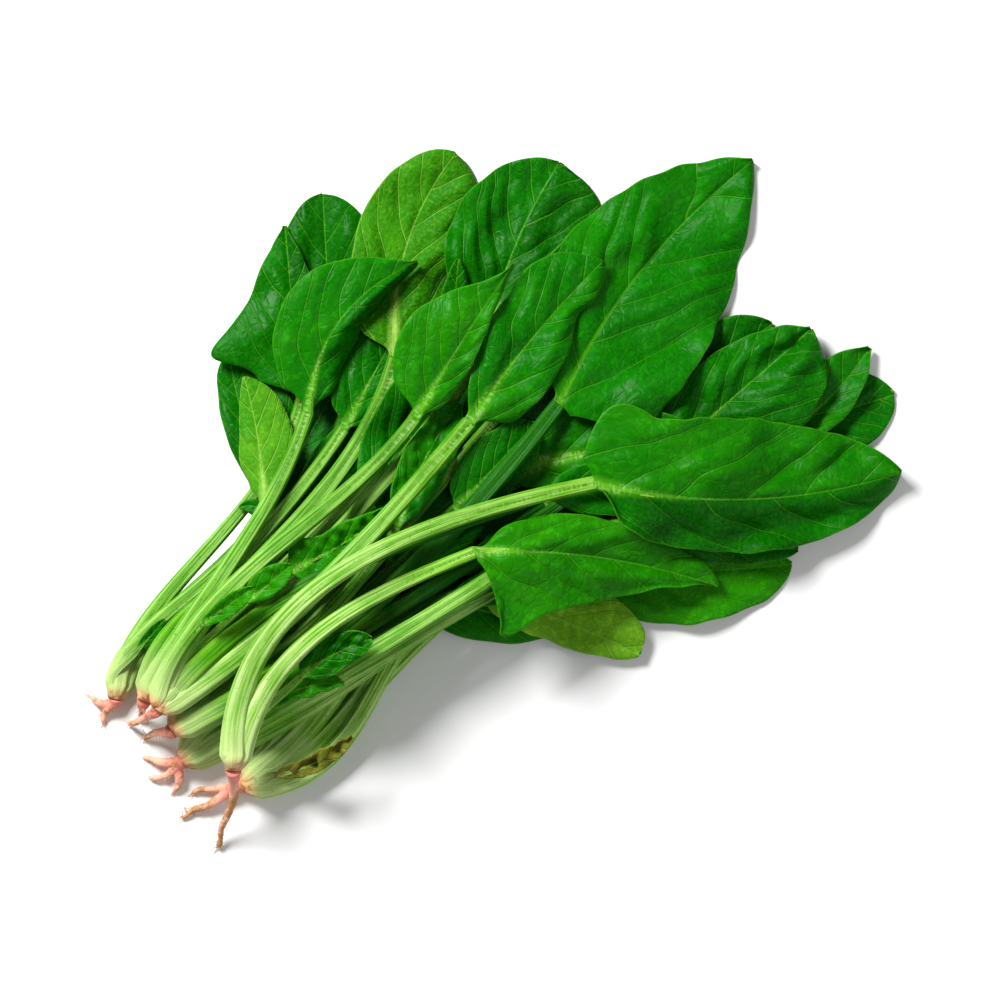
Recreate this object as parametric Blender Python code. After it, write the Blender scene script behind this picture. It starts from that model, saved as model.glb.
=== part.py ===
"""A bunch of spinach lying on its side: seven young plants pulled with their roots.

Every plant has a forked tap root, a crown with its leaf stalks, and a blade on the end
of each stalk.  The plan of each leaf, seen from above, is set by hand in the tables
below.  Its heights are not: the leaves are laid one after another on a table, and each
one sags like a soft strip on to whatever already lies there.

+X runs along the bunch from the roots to the leaf tips, +Y to its left, +Z up, and the
table is z = 0.  Tables and laying work in millimetres; the meshes are made in metres.
"""
import math
from collections import namedtuple

import bmesh
import bpy
import numpy as np

MM = 0.001

# ---------------------------------------------------------------- driving dimensions

SHIFT = (1.3, -8.3)         # moves the plan so that the finished bunch is centred
BLADE_THICK = 0.85          # a blade away from its midrib
TIP_HALF = 0.9              # half the width of a blade's blunt tip
BARB_SWEEP = 0.3            # how far a barb points back, over its width
JOINT_TURN = 0.13           # a blade takes its own direction over this part of its length
FLARE = 0.06                # a blade widens from its stalk over this part of its length
RIB_FADE = 0.75             # the midrib sinks into the blade by this part of its length
JOIN_GAP = 0.3              # between a stalk's end and its blade, a crown and its root
LEAF_GAP = 1.3              # air left between a leaf and what it lies on
PRESS = 1.6                 # the lowest leaves are flattened on the table up to here
CELL = 1.0                  # side of the height map's cells
SLACK = 0.3                 # spare height at the points that find how a leaf sags
STEP = 3.0                  # spacing of the points that find how a leaf sags
SAG = 2.2e-5                # weight over stiffness of a leaf, per cubic millimetre
FLEX = 0.3                  # slope that a blade's sides take to rest on what is below
FUSED = (24.0, 48.0)        # stalks of one plant are one body up to here, apart beyond
STALK_SIDES = 6
STALK_PITCH = 21.0          # spacing of a stalk's rings
STALK_DEPTH = 0.62          # a stalk's height over its width
STALK_REACH = 0.36          # how far a stalk holds to its directions at both ends
CROWN_SIDES = 8
CROWN_STATIONS = (-6.0, -2.0, 3.0, 9.0, 15.0)    # along a crown, from its root forward
CROWN_SHAPE = (0.86, 1.0, 0.8, 0.5)              # its radius over its girth beyond the first
CROWN_DEPTH = 0.9           # a crown's height over its width
COLLAR = 3.2                # radius of a crown and its root where they meet
TAP_ROOT = (2.6, 1.1)       # a tap root's radius below its collar and at its end
FORK_ROOT = (2.6, 0.8)      # a side root's radius where it leaves and at its end
FORK_BEND = 2.0             # how far a side root bends to its left
ROOT_PITCH = 4.5            # spacing of a root's rings
ROOT_SIDES, FORK_SIDES = 8, 6
STACK = 0.9                 # height over which a crown's stalks begin, over its girth
SPREAD = 18.0               # degrees between a crown's middle and outermost stalks
MAP_LOW, MAP_HIGH = (-215.0, -150.0), (215.0, 170.0)    # plan covered by the height map
LARGE = 28.0                # a blade at least this wide has the finer grid

Plant = namedtuple("Plant", "crown heading sweep girth root forks")
Leaf = namedtuple("Leaf", "plant side base tip bow half widest point round barb rise waves stalk kind")
NO_BARB = (0, 0, 0.1, 0.1)

# crown: where it lies.  heading: degrees from +X in which its stalks leave, and sweep:
# how far they hold to it.  girth: the crown's radius.  root: points on the way to the tap
# root's end.  forks: side roots, each as where it leaves the tap root and where it ends.
PLANTS = {
    7: Plant((-147, -37), -12, 1.2, 6.0, [(-160, -31), (-172, -24)], [(0.35, (-182, -29))]),
    5: Plant((-160, -12), -8, 1.0, 7.0, [(-171, -13), (-182, -9)],
             [(0.2, (-178, 1)), (0.3, (-178, -20))]),
    1: Plant((-166, 31), 40, 0.8, 5.5, [(-174, 28), (-182, 22)], [(0.4, (-179, 35))]),
    2: Plant((-156, 22), 32, 1.0, 5.0, [(-162, 19), (-169, 13)], []),
    4: Plant((-154, 1), -2, 1.0, 6.5, [(-163, 6), (-173, 6)], []),
    3: Plant((-153, 13), 10, 1.0, 5.5, [(-164, 13), (-174, 15)], []),
    6: Plant((-147, -23), 50, 1.1, 6.5, [(-160, -40), (-179, -48)], []),
}

# In each plant from the lowest leaf to the topmost.  side: place on the crown, 1 is left.
# base, tip: ends of the blade.  bow: how far the midrib arches left, over its length.
# half: width left and right of the midrib.  widest: where each side is widest, from 0 at
# the base.  point, round: each side's outline at its ends (0.5 is round, 1 is pointed).
# barb: extra width left and right, where, and over what reach.  rise: height of the sides
# over the midrib.  waves: ripples along a side.  stalk: half its width at the blade.
LEAVES = [
    Leaf(7, 1.3, (-50, -22), (51, -85), 0.0, (18, 19),
         (0.45, 0.45), (0.6, 0.6), (0.5, 0.5), NO_BARB, (1, 1), 1, 2.9, "leaf"),
    Leaf(7, 0.9, (-44, -20), (-6, -71), -0.03, (12, 13),
         (0.45, 0.4), (0.8, 0.7), (0.6, 0.5), NO_BARB, (-1, -2), 1, 2.6, "leaf"),
    Leaf(7, 0.1, (5, -46), (84, -113), -0.03, (15, 22),
         (0.4, 0.55), (0.6, 0.6), (0.5, 0.5), NO_BARB, (2, 1), 2, 2.8, "leaf"),
    Leaf(7, -0.4, (-26, -37), (10, -101), 0.03, (17, 10),
         (0.7, 0.5), (0.35, 0.6), (0.6, 0.6), NO_BARB, (-2, -1), 2, 2.5, "pale"),
    Leaf(7, 0.5, (-28, -19), (16, -37), 0.0, (9, 9),
         (0.5, 0.5), (0.7, 0.7), (0.5, 0.5), NO_BARB, (1, 1), 1, 3.4, "leaf"),
    Leaf(7, -1.2, (-34, -31), (23, -60), 0.0, (9, 9),
         (0.5, 0.5), (0.7, 0.7), (0.5, 0.5), NO_BARB, (1, 1), 1, 2.4, "leaf"),
    Leaf(7, -0.8, (-140, -41), (-104, -49), -0.08, (4, 4),
         (0.4, 0.6), (0.9, 0.8), (0.7, 0.7), NO_BARB, (4, 3), 3, 1.4, "dry"),

    Leaf(5, 0.2, (-16, -10), (81, -21), 0.0, (27, 22),
         (0.45, 0.45), (0.7, 0.7), (0.5, 0.5), NO_BARB, (2, 2), 2, 2.3, "leaf"),
    Leaf(5, -0.9, (-98, -10), (-24, -18), 0.0, (11, 12),
         (0.5, 0.5), (0.6, 0.6), (0.5, 0.5), NO_BARB, (1, 1), 2, 2.0, "leaf"),
    Leaf(5, 0.5, (-48, -6), (21, 3), 0.0, (15, 18),
         (0.5, 0.5), (0.6, 0.6), (0.5, 0.5), NO_BARB, (1, 1), 2, 2.0, "leaf"),
    Leaf(5, -0.6, (20, -28), (113, -54), 0.0, (20, 22),
         (0.45, 0.45), (0.7, 0.7), (0.5, 0.5), NO_BARB, (2, 1), 2, 2.3, "leaf"),
    Leaf(5, -0.8, (40, -57), (90, -110), 0.02, (13, 11),
         (0.5, 0.5), (0.6, 0.6), (0.5, 0.5), NO_BARB, (1, 1), 1, 2.1, "leaf"),
    Leaf(5, -0.3, (104, -65), (163, -86), 0.02, (18, 19),
         (0.5, 0.5), (0.5, 0.5), (0.5, 0.5), NO_BARB, (1, 2), 2, 2.1, "leaf"),
    Leaf(5, 0.5, (70, -32), (143, -30), 0.03, (16, 19),
         (0.6, 0.5), (0.6, 0.55), (0.5, 0.5), NO_BARB, (2, 2), 2, 2.2, "leaf"),
    Leaf(5, 0.1, (110, -68), (168, -64), -0.06, (15, 10),
         (0.5, 0.45), (0.8, 0.9), (0.6, 0.6), NO_BARB, (4, 5), 2, 2.1, "leaf"),
    Leaf(5, -0.1, (75, -44), (154, -42), 0.0, (20, 28),
         (0.4, 0.6), (0.8, 0.5), (0.45, 0.5), NO_BARB, (2, -3), 3, 2.4, "leaf"),
    Leaf(5, 0.9, (14, -4), (88, -42), 0.0, (20, 15),
         (0.4, 0.5), (0.7, 0.7), (0.9, 0.8), NO_BARB, (2, 1), 2, 2.8, "leaf"),

    Leaf(1, 0.3, (-80, 31), (-6, 38), 0.0, (16, 16),
         (0.5, 0.5), (0.6, 0.6), (0.5, 0.5), NO_BARB, (0, 0), 2, 2.0, "leaf"),
    Leaf(1, -0.3, (-72, 46), (5, 76), 0.0, (17, 19),
         (0.45, 0.45), (0.6, 0.6), (0.5, 0.5), NO_BARB, (1, 1), 2, 2.2, "leaf"),
    Leaf(1, 0.3, (-65, 50), (-40, 109), 0.04, (9, 22),
         (0.5, 0.5), (0.6, 0.6), (0.5, 0.5), NO_BARB, (0, 0), 2, 2.1, "leaf"),
    Leaf(1, -0.6, (-18, 58), (33, 134), 0.02, (20, 24),
         (0.6, 0.6), (0.5, 0.5), (0.5, 0.5), NO_BARB, (1, 1), 3, 2.3, "leaf"),
    Leaf(1, -0.1, (-30, 73), (12, 134), 0.0, (20, 12),
         (0.36, 0.4), (1.0, 1.0), (0.4, 0.5), (16, 4, 0.38, 0.13), (1, 2), 3, 2.1, "leaf"),
    Leaf(1, 0.5, (-72, 43), (-79, 55), -0.2, (3.5, 3.5),
         (0.5, 0.5), (0.9, 0.9), (0.9, 0.9), NO_BARB, (1, 1), 0, 1.3, "leaf"),
    Leaf(1, 0.1, (-70, 49), (-42, 96), -0.03, (8, 15),
         (0.4, 0.5), (0.8, 0.7), (0.6, 0.7), NO_BARB, (-2, -1), 1, 2.1, "pale"),
    Leaf(1, 0.9, (-151, 36), (-133, 39), 0.0, (3, 3),
         (0.5, 0.5), (0.7, 0.7), (0.7, 0.7), NO_BARB, (1, 1), 0, 1.1, "leaf"),

    Leaf(2, 0.4, (-62, 35), (-10, 48), 0.0, (12, 14),
         (0.5, 0.5), (0.5, 0.5), (0.5, 0.5), NO_BARB, (1, 1), 3, 2.1, "leaf"),
    Leaf(2, -0.5, (-24, 52), (39, 77), 0.0, (16, 18),
         (0.5, 0.5), (0.6, 0.6), (0.5, 0.5), NO_BARB, (1, -2), 2, 2.2, "leaf"),
    Leaf(2, -0.9, (12, 61), (87, 111), 0.1, (22, 22),
         (0.55, 0.65), (0.6, 0.35), (0.5, 0.5), NO_BARB, (2, -9), 3, 2.9, "pale"),
    Leaf(2, -0.6, (-31, 67), (45, 86), 0.15, (24, 10),
         (0.45, 0.3), (1.3, 0.6), (0.85, 0.6), NO_BARB, (2, -9), 2, 2.4, "leaf"),

    Leaf(4, 0.3, (-37, 11), (52, 40), 0.0, (25, 22),
         (0.45, 0.45), (0.6, 0.6), (0.5, 0.5), NO_BARB, (2, 2), 2, 2.2, "leaf"),
    Leaf(4, -0.4, (28, 14), (122, 33), 0.0, (20, 20),
         (0.45, 0.45), (0.6, 0.6), (0.5, 0.5), NO_BARB, (2, 2), 2, 2.3, "leaf"),
    Leaf(4, 1.0, (52, 46), (118, 80), 0.05, (29, 34),
         (0.45, 0.6), (0.65, 0.32), (0.6, 0.4), NO_BARB, (2, 1), 3, 2.4, "leaf"),
    Leaf(4, -0.3, (-33, 6), (20, 29), 0.04, (9, 11),
         (0.5, 0.5), (0.6, 0.6), (0.6, 0.6), NO_BARB, (5, 3), 3, 2.1, "leaf"),
    Leaf(4, -0.9, (-10, -4), (39, 2), 0.0, (13, 12),
         (0.5, 0.5), (0.5, 0.5), (0.5, 0.5), NO_BARB, (3, 1), 2, 2.1, "leaf"),
    Leaf(4, -0.6, (52, 2), (181, 28), 0.06, (35, 43),
         (0.3, 0.3), (0.8, 0.8), (0.4, 0.4), (0, 9, 0.05, 0.08), (3, -4), 3, 2.9, "leaf"),

    Leaf(3, 0.2, (33, 50), (59, 76), 0.0, (6, 6),
         (0.5, 0.5), (0.9, 0.9), (0.7, 0.7), NO_BARB, (1, 1), 0, 1.8, "leaf"),
    Leaf(3, 0.3, (-79, 21), (-30, 14), -0.05, (8, 8),
         (0.45, 0.5), (0.9, 0.9), (0.5, 0.5), (5, 6, 0.15, 0.12), (4, 3), 2, 1.7, "leaf"),
    Leaf(3, 0.0, (22, -23), (92, -66), 0.0, (13, 13),
         (0.5, 0.5), (0.6, 0.6), (0.6, 0.6), NO_BARB, (1, 1), 1, 2.5, "leaf"),
    Leaf(3, -1.0, (18, 20), (105, 36), 0.025, (21, 18),
         (0.74, 0.3), (0.8, 0.6), (0.8, 0.6), (0, -6, 0.7, 0.13), (3, -4), 3, 2.8, "leaf"),
    Leaf(3, 1.1, (2, 36), (75, 59), 0.01, (24, 9),
         (0.4, 0.3), (1.8, 1.7), (0.6, 0.9), NO_BARB, (2, -3), 2, 2.4, "leaf"),
    Leaf(3, 0.8, (-101, 22), (-77, 22), 0.0, (7, 5),
         (0.5, 0.5), (0.6, 0.6), (0.6, 0.6), NO_BARB, (2, 2), 0, 1.3, "leaf"),
    Leaf(3, 1.2, (-122, 27), (-95, 25), 0.0, (4, 4),
         (0.5, 0.5), (0.7, 0.7), (0.6, 0.6), NO_BARB, (3, 3), 0, 1.4, "leaf"),

    Leaf(6, 0.2, (-123, -17), (-92, -30), 0.1, (8, 4),
         (0.45, 0.5), (0.8, 0.8), (0.6, 0.6), NO_BARB, (2, 1), 1, 1.5, "leaf"),
    Leaf(6, -0.5, (-104, -16), (-71, -23), 0.05, (8, 7),
         (0.5, 0.5), (0.5, 0.5), (0.5, 0.5), NO_BARB, (3, 3), 3, 1.6, "leaf"),
    Leaf(6, -0.8, (-15, -23), (54, -100), 0.05, (17, 24),
         (0.4, 0.2), (0.6, 1.5), (0.8, 0.45), (0, 12, 0.15, 0.12), (-2, -3), 2, 2.3, "leaf"),
    Leaf(6, 0.0, (42, -33), (144, -113), -0.07, (34, 22),
         (0.4, 0.5), (0.6, 0.7), (0.3, 0.35), (16, 0, 0.05, 0.08), (2, -12), 3, 2.6, "leaf"),
]

COLOURS = {  # linear colour, roughness
    "stalks": ((0.36, 0.55, 0.13), 0.45),
    "root": ((0.80, 0.36, 0.24), 0.6),
    "leaf": ((0.012, 0.16, 0.008), 0.4),
    "pale": ((0.11, 0.34, 0.03), 0.5),
    "dry": ((0.20, 0.12, 0.03), 0.7),
}


# ------------------------------------------------------------------------- plan view

def direction(degrees):
    """Unit vector at an angle from +X."""
    return np.array([math.cos(math.radians(degrees)), math.sin(math.radians(degrees))])


def unit(vectors):
    """Vectors at length 1."""
    return vectors / np.linalg.norm(vectors, axis=-1, keepdims=True)


def left_of(vectors):
    """The unit normals on the left of plan vectors."""
    return unit(np.stack([-vectors[..., 1], vectors[..., 0]], axis=-1))


def bezier(points, t):
    """Places and directions on a quadratic or cubic Bezier curve."""
    points = np.array(points, dtype=float)
    t = np.atleast_1d(t)[:, None]
    order = len(points) - 1
    weight = [math.comb(order, k) * t**k * (1 - t) ** (order - k) for k in range(order + 1)]
    slope = [math.comb(order - 1, k) * t**k * (1 - t) ** (order - 1 - k) for k in range(order)]
    place = sum(w * p for w, p in zip(weight, points))
    travel = sum(w * p for w, p in zip(slope, np.diff(points, axis=0))) * order
    return place, travel


def midrib_points(leaf):
    """Control points of a blade's midrib, an arc from its base to its tip."""
    base = np.array(leaf.base, dtype=float)
    tip = np.array(leaf.tip, dtype=float)
    chord = tip - base
    side = left_of(chord) * np.linalg.norm(chord) * 2 * leaf.bow
    return base, (base + tip) / 2 + side, tip


def stalk_start(leaf):
    """Where a stalk leaves the middle of its crown."""
    plant = PLANTS[leaf.plant]
    return np.array(plant.crown) + left_of(direction(plant.heading)) * leaf.side * plant.girth * 0.5


def joint_direction(leaf):
    """Direction in which a stalk meets its blade, between its own run and the midrib's."""
    base, middle, _ = midrib_points(leaf)
    return unit(unit(middle - base) + unit(base - stalk_start(leaf)))


def stalk_points(leaf):
    """Control points of a stalk, from inside its crown to the base of its blade."""
    plant = PLANTS[leaf.plant]
    start = stalk_start(leaf)
    end = np.array(leaf.base) - joint_direction(leaf) * JOIN_GAP
    reach = np.linalg.norm(end - start) * STALK_REACH
    out = direction(plant.heading + SPREAD * leaf.side)
    return start, start + out * reach * plant.sweep, end - joint_direction(leaf) * reach, end


def stalk_half_width(leaf, t):
    """A stalk is broad where it leaves the crown and narrows to its blade."""
    broad = min(leaf.stalk * 2.0, 4.8)
    middle = leaf.stalk * 1.35
    return leaf.stalk + (middle - leaf.stalk) * (1 - t) + (broad - middle) * (1 - t) ** 4


def barb_width(leaf, t, s):
    """Width that a barb adds to a blade."""
    _, _, where, reach = leaf.barb
    return np.where(s > 0, *leaf.barb[:2]) * np.exp(-(((t - where) / reach) ** 2)) * (t > 0)


def half_width(leaf, t, s):
    """Width of a blade from the midrib to its edge, on the side that s is on."""
    widest = np.where(s > 0, *leaf.widest)
    low = np.clip((widest - t) / widest, 0, 1)
    high = np.clip((t - widest) / (1 - widest), 0, 1)
    outline = (1 - low**2) ** np.where(s > 0, *leaf.round) * (1 - high**2) ** np.where(s > 0, *leaf.point)
    flare = 1 - np.exp(-((t / FLARE) ** 2))
    full = np.where(s > 0, *leaf.half) * outline * flare + barb_width(leaf, t, s)
    return np.hypot(np.maximum(full, 0), leaf.stalk * (1 - t) + TIP_HALF * t)


def blade_plan(leaf, t, s):
    """Plan places on a blade: t from base to tip, s from -1 at the right edge to 1."""
    place, travel = bezier(midrib_points(leaf), t)
    turn = np.clip(1 - t / JOINT_TURN, 0, 1)[:, None]
    along = unit(unit(travel) * (1 - turn) + joint_direction(leaf) * turn)
    sweep = BARB_SWEEP * barb_width(leaf, t, s) * s**2
    return place + left_of(along) * (s * half_width(leaf, t, s))[:, None] - along * sweep[:, None]


def blade_form(leaf, t, s):
    """Height of a relaxed blade over its midrib: its sides rise or fall, and ripple."""
    rise = np.where(s > 0, leaf.rise[0], leaf.rise[1])
    open_up = np.clip(t * 5, 0, 1) * (1 - 0.3 * t)
    size = min(leaf.half) / 14.0
    ripple = np.sin(2 * math.pi * (leaf.waves * t + 0.3 * leaf.side) + 1.3 * s)
    return open_up * (rise * np.abs(s) ** 1.5 + 1.5 * size * ripple * s**2)


def rib_depth(leaf, t):
    """Thickness of a blade along its midrib."""
    fade = np.clip(1 - t / RIB_FADE, 0, 1) ** 1.5
    return BLADE_THICK + (2 * leaf.stalk * STALK_DEPTH - BLADE_THICK) * fade


# ------------------------------------------------------------------------ height map

class HeightMap:
    """The top of everything laid so far, over a grid of square cells."""

    def __init__(self, low, high):
        self.low = np.array(low, dtype=float)
        self.shape = tuple(int(n) for n in np.ceil((np.array(high) - self.low) / CELL) + 1)
        self.top = np.zeros(self.shape)

    def floor(self, gap):
        """Lowest height for a new piece in each cell, a cell's width from its neighbours."""
        spread = np.pad(self.top, 1)
        rows, columns = self.shape
        shifted = [spread[i:i + rows, j:j + columns] for i in range(3) for j in range(3)]
        highest = np.max(shifted, axis=0)
        return np.where(highest > 0, highest + gap, 0)

    def read(self, field, places):
        """Values of a field at plan places."""
        cells = np.rint((places - self.low) / CELL).astype(int)
        cells = np.clip(cells, 0, np.array(self.shape) - 1)
        return field[cells[..., 0], cells[..., 1]]

    def cover(self, places, triangles):
        """For each triangle, the cells that it covers and their weights at its corners."""
        covered = []
        for triangle in triangles:
            corners = (places[triangle] - self.low) / CELL
            first = np.floor(corners.min(axis=0)).astype(int)
            last = np.ceil(corners.max(axis=0)).astype(int)
            cells = np.stack(np.meshgrid(*[np.arange(a, b + 1) for a, b in zip(first, last)]), -1)
            cells = cells.reshape(-1, 2)
            edges = np.stack([corners[1] - corners[0], corners[2] - corners[0]], axis=1)
            if abs(np.linalg.det(edges)) < 1e-6:
                continue
            inner = np.linalg.solve(edges, (cells - corners[0]).T).T
            weights = np.column_stack([1 - inner.sum(axis=1), inner])
            slack = 0.5 / math.sqrt(abs(np.linalg.det(edges)))
            inside = weights.min(axis=1) > -min(slack, 0.3)
            weights = np.clip(weights[inside], 0, 1)
            weights /= weights.sum(axis=1, keepdims=True)
            covered.append((triangle, cells[inside], weights))
        return covered

    def add(self, covered, heights):
        """Raise the map to the top of a piece."""
        for triangle, cells, weights in covered:
            np.maximum.at(self.top, (cells[:, 0], cells[:, 1]), weights @ heights[triangle])


def sag(floor, start):
    """Heights of a soft strip that leaves a crown at a height and sags on to a floor."""
    count = len(floor)
    bend = np.diff(np.eye(count), 2, axis=0)
    stiffness = bend.T @ bend / STEP**4
    hold = 1e3
    pinned = np.zeros(count)
    target = floor.copy()
    if start is not None:
        pinned[:2] = hold
        target[:2] = start
    height = floor + 1.0
    touching = np.ones(count, dtype=bool)
    for _ in range(60):
        grip = np.where(touching, hold, 0) * (pinned == 0) + pinned
        height = np.linalg.solve(stiffness + np.diag(grip + 1e-12), grip * target - SAG)
        now = height < floor
        if np.array_equal(now, touching):
            break
        touching = now
    return np.maximum(height, floor)


def clear(covered, groups, heights, floor):
    """Least rise of each group of points that lifts all triangles off a floor."""
    rise = np.zeros(groups.max() + 1)
    for triangle, cells, weights in covered:
        short = floor[cells[:, 0], cells[:, 1]] - weights @ heights[triangle]
        low = short > 0
        if low.any():
            share = weights[low] / (weights[low] ** 2).sum(axis=1, keepdims=True)
            np.maximum.at(rise, groups[triangle], (share * short[low, None]).max(axis=0))
    return rise


# --------------------------------------------------------------------- mesh building

def grid_mesh(rows, columns):
    """A triangulated unit grid as a bmesh, with the (row, column) of each vertex."""
    mesh = bmesh.new()
    bmesh.ops.create_grid(mesh, x_segments=rows, y_segments=columns, size=0.5)
    bmesh.ops.triangulate(mesh, faces=mesh.faces[:], quad_method="FIXED")
    mesh.verts.ensure_lookup_table()
    unit = np.array([v.co[:2] for v in mesh.verts]) + 0.5
    index = np.rint(unit * [rows, columns]).astype(int)
    triangles = np.array([[v.index for v in face.verts] for face in mesh.faces])
    return mesh, index, triangles


def finish(mesh, name, material):
    """Turn a closed bmesh into an object with its own material."""
    bmesh.ops.recalc_face_normals(mesh, faces=mesh.faces[:])
    data = bpy.data.meshes.new(name)
    mesh.to_mesh(data)
    mesh.free()
    data.shade_smooth()
    data.set_sharp_from_angle(angle=math.radians(50))
    data.materials.append(material)
    thing = bpy.data.objects.new(name, data)
    bpy.context.scene.collection.objects.link(thing)
    return thing


def own_material(name, colour):
    """A Principled material for one node."""
    tint, roughness = COLOURS[colour]
    material = bpy.data.materials.new(name)
    material.use_nodes = True
    shader = material.node_tree.nodes["Principled BSDF"]
    shader.inputs["Base Color"].default_value = (*tint, 1)
    shader.inputs["Roughness"].default_value = roughness
    shader.inputs["Metallic"].default_value = 0.0
    material.diffuse_color = (*tint, 1)
    return material


def metres(points):
    """Plan places and heights in millimetres as the scene's coordinates."""
    return (np.asarray(points) + [SHIFT[0], SHIFT[1], 0]) * MM


class Tube:
    """A closed tube of elliptical rings along a plan route."""

    def __init__(self, places, travel, half_widths, depths, sides):
        self.rings = len(places)
        self.sides = sides
        self.mesh, self.index, self.triangles = grid_mesh(self.rings - 1, sides)
        turn = 2 * math.pi * (self.index[:, 1] % sides) / sides
        ring = self.index[:, 0]
        across = left_of(travel)[ring] * (np.cos(turn) * half_widths[ring])[:, None]
        self.plan = places[ring] + across
        self.above = np.sin(turn) * depths[ring]

    def heights(self, middles):
        """Heights of all points from those of the rings' middles."""
        return middles[self.index[:, 0]] + self.above

    def build(self, middles, name, material):
        """The tube as an object, its seam merged and its ends closed."""
        points = metres(np.column_stack([self.plan, self.heights(middles)]))
        for vertex, point in zip(self.mesh.verts, points):
            vertex.co = point
        bmesh.ops.remove_doubles(self.mesh, verts=self.mesh.verts[:], dist=1e-6)
        rim = [edge for edge in self.mesh.edges if edge.is_boundary]
        caps = bmesh.ops.holes_fill(self.mesh, edges=rim, sides=self.sides)["faces"]
        bmesh.ops.triangulate(self.mesh, faces=caps)
        return finish(self.mesh, name, material)


def fuse(pieces, name):
    """Join overlapping pieces into one body with one Boolean union."""
    target = pieces[0]
    target.name = name
    if len(pieces) == 1:
        return target
    others = bpy.data.collections.new(name + "_parts")
    bpy.context.scene.collection.children.link(others)
    for piece in pieces[1:]:
        bpy.context.scene.collection.objects.unlink(piece)
        others.objects.link(piece)
    union = target.modifiers.new("join", "BOOLEAN")
    union.operation = "UNION"
    union.operand_type = "COLLECTION"
    union.collection = others
    union.solver = "EXACT"
    target.data = bpy.data.meshes.new_from_object(
        target.evaluated_get(bpy.context.evaluated_depsgraph_get()))
    target.modifiers.clear()
    for piece in list(others.objects):
        bpy.data.objects.remove(piece)
    bpy.data.collections.remove(others)
    return target


# ----------------------------------------------------------------- roots and crowns

def ring_places(points, spacing):
    """Evenly spaced places and directions on a curve, and their share of its length."""
    fine, _ = bezier(points, np.linspace(0, 1, 200))
    run = np.concatenate([[0], np.cumsum(np.linalg.norm(np.diff(fine, axis=0), axis=1))])
    count = max(3, int(round(run[-1] / spacing)) + 1)
    t = np.interp(np.linspace(0, run[-1], count), run, np.linspace(0, 1, 200))
    places, travel = bezier(points, t)
    return t, places, travel, run[-1]


def lay_tube(tube, middles, ground, gap):
    """Lift a tube's rings off the ground below it."""
    covered = ground.cover(tube.plan, tube.triangles)
    rise = clear(covered, tube.index[:, 0], tube.heights(middles), ground.floor(gap))
    return middles + rise, covered


def root_radius(ends, t):
    """A root's radius, from where it leaves to its end."""
    return ends[1] + (ends[0] - ends[1]) * (1 - t)


def build_root(number, plant, crown_height, ground):
    """Lay a crown's tap root with its side roots, as one node."""
    name = f"plant_{number}_root"
    material = own_material(name, "root")
    out = direction(plant.heading)
    neck = np.array(plant.crown) + out * (CROWN_STATIONS[0] - JOIN_GAP)
    t, places, travel, _ = ring_places([neck, neck - out * ROOT_PITCH, *plant.root], ROOT_PITCH)
    radius = root_radius(TAP_ROOT, t) + (COLLAR - TAP_ROOT[0]) * (1 - t) ** 4
    tube = Tube(places, travel, radius, radius, ROOT_SIDES)
    fall = crown_height + (radius - crown_height) * t**1.3
    middles, covered = lay_tube(tube, fall, ground, LEAF_GAP)
    middles = np.maximum(middles + crown_height - middles[0], radius)
    laid = [(covered, tube.heights(middles))]
    pieces = [tube.build(middles, name, material)]

    for share, end in plant.forks:
        spot = np.interp(share, t, np.arange(len(t)))
        start = np.array([np.interp(spot, np.arange(len(t)), places[:, k]) for k in (0, 1)])
        height = np.interp(spot, np.arange(len(t)), middles)
        end = np.array(end, dtype=float)
        bend = (start + end) / 2 + left_of(end - start) * FORK_BEND
        u, spots, way, _ = ring_places([start, bend, end], ROOT_PITCH)
        thin = root_radius(FORK_ROOT, u)
        side = Tube(spots, way, thin, thin, FORK_SIDES)
        low = height + (thin - height) * u
        lifted, cover = lay_tube(side, low, ground, LEAF_GAP)
        lifted[0] = height
        laid.append((cover, side.heights(lifted)))
        pieces.append(side.build(lifted, f"fork_{number}_{share}", material))

    for cover, heights in laid:
        ground.add(cover, heights)
    fuse(pieces, name)


def crown_rest(plant, ground):
    """Height at which a crown's middle lies on what is below it."""
    floor = ground.floor(LEAF_GAP)
    out = direction(plant.heading)
    height = plant.girth
    for along in np.linspace(CROWN_STATIONS[0], CROWN_STATIONS[-1], 8):
        for share in np.linspace(-1, 1, 5):
            place = np.array(plant.crown) + out * along + left_of(out) * share * plant.girth
            reach = plant.girth * math.sqrt(1 - share**2)
            height = max(height, float(ground.read(floor, place)) + reach * CROWN_DEPTH)
    return height


def crown_tube(plant):
    """The short thick stem that the stalks grow from, narrow where the root begins."""
    out = direction(plant.heading)
    stations = np.array(CROWN_STATIONS)
    radius = np.array([COLLAR, *(plant.girth * share for share in CROWN_SHAPE)])
    places = np.array(plant.crown) + stations[:, None] * out
    travel = np.tile(out, (len(stations), 1))
    return Tube(places, travel, radius, radius * CROWN_DEPTH, CROWN_SIDES)


# --------------------------------------------------------------------------- leaves

def blade_grid(leaf):
    """Rows and columns of a blade's mesh, closer where the outline turns."""
    large = sum(leaf.half) > LARGE
    rows = np.array([0, 0.05, 0.14, 0.27, 0.42, 0.57, 0.72, 0.87, 1.0])
    columns = np.array([-1, -0.68, -0.34, 0, 0.34, 0.68, 1])
    if not large:
        rows = np.array([0, 0.1, 0.3, 0.5, 0.7, 0.88, 1.0])
        columns = np.array([-1, -0.5, 0, 0.5, 1])
    return rows, columns


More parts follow.
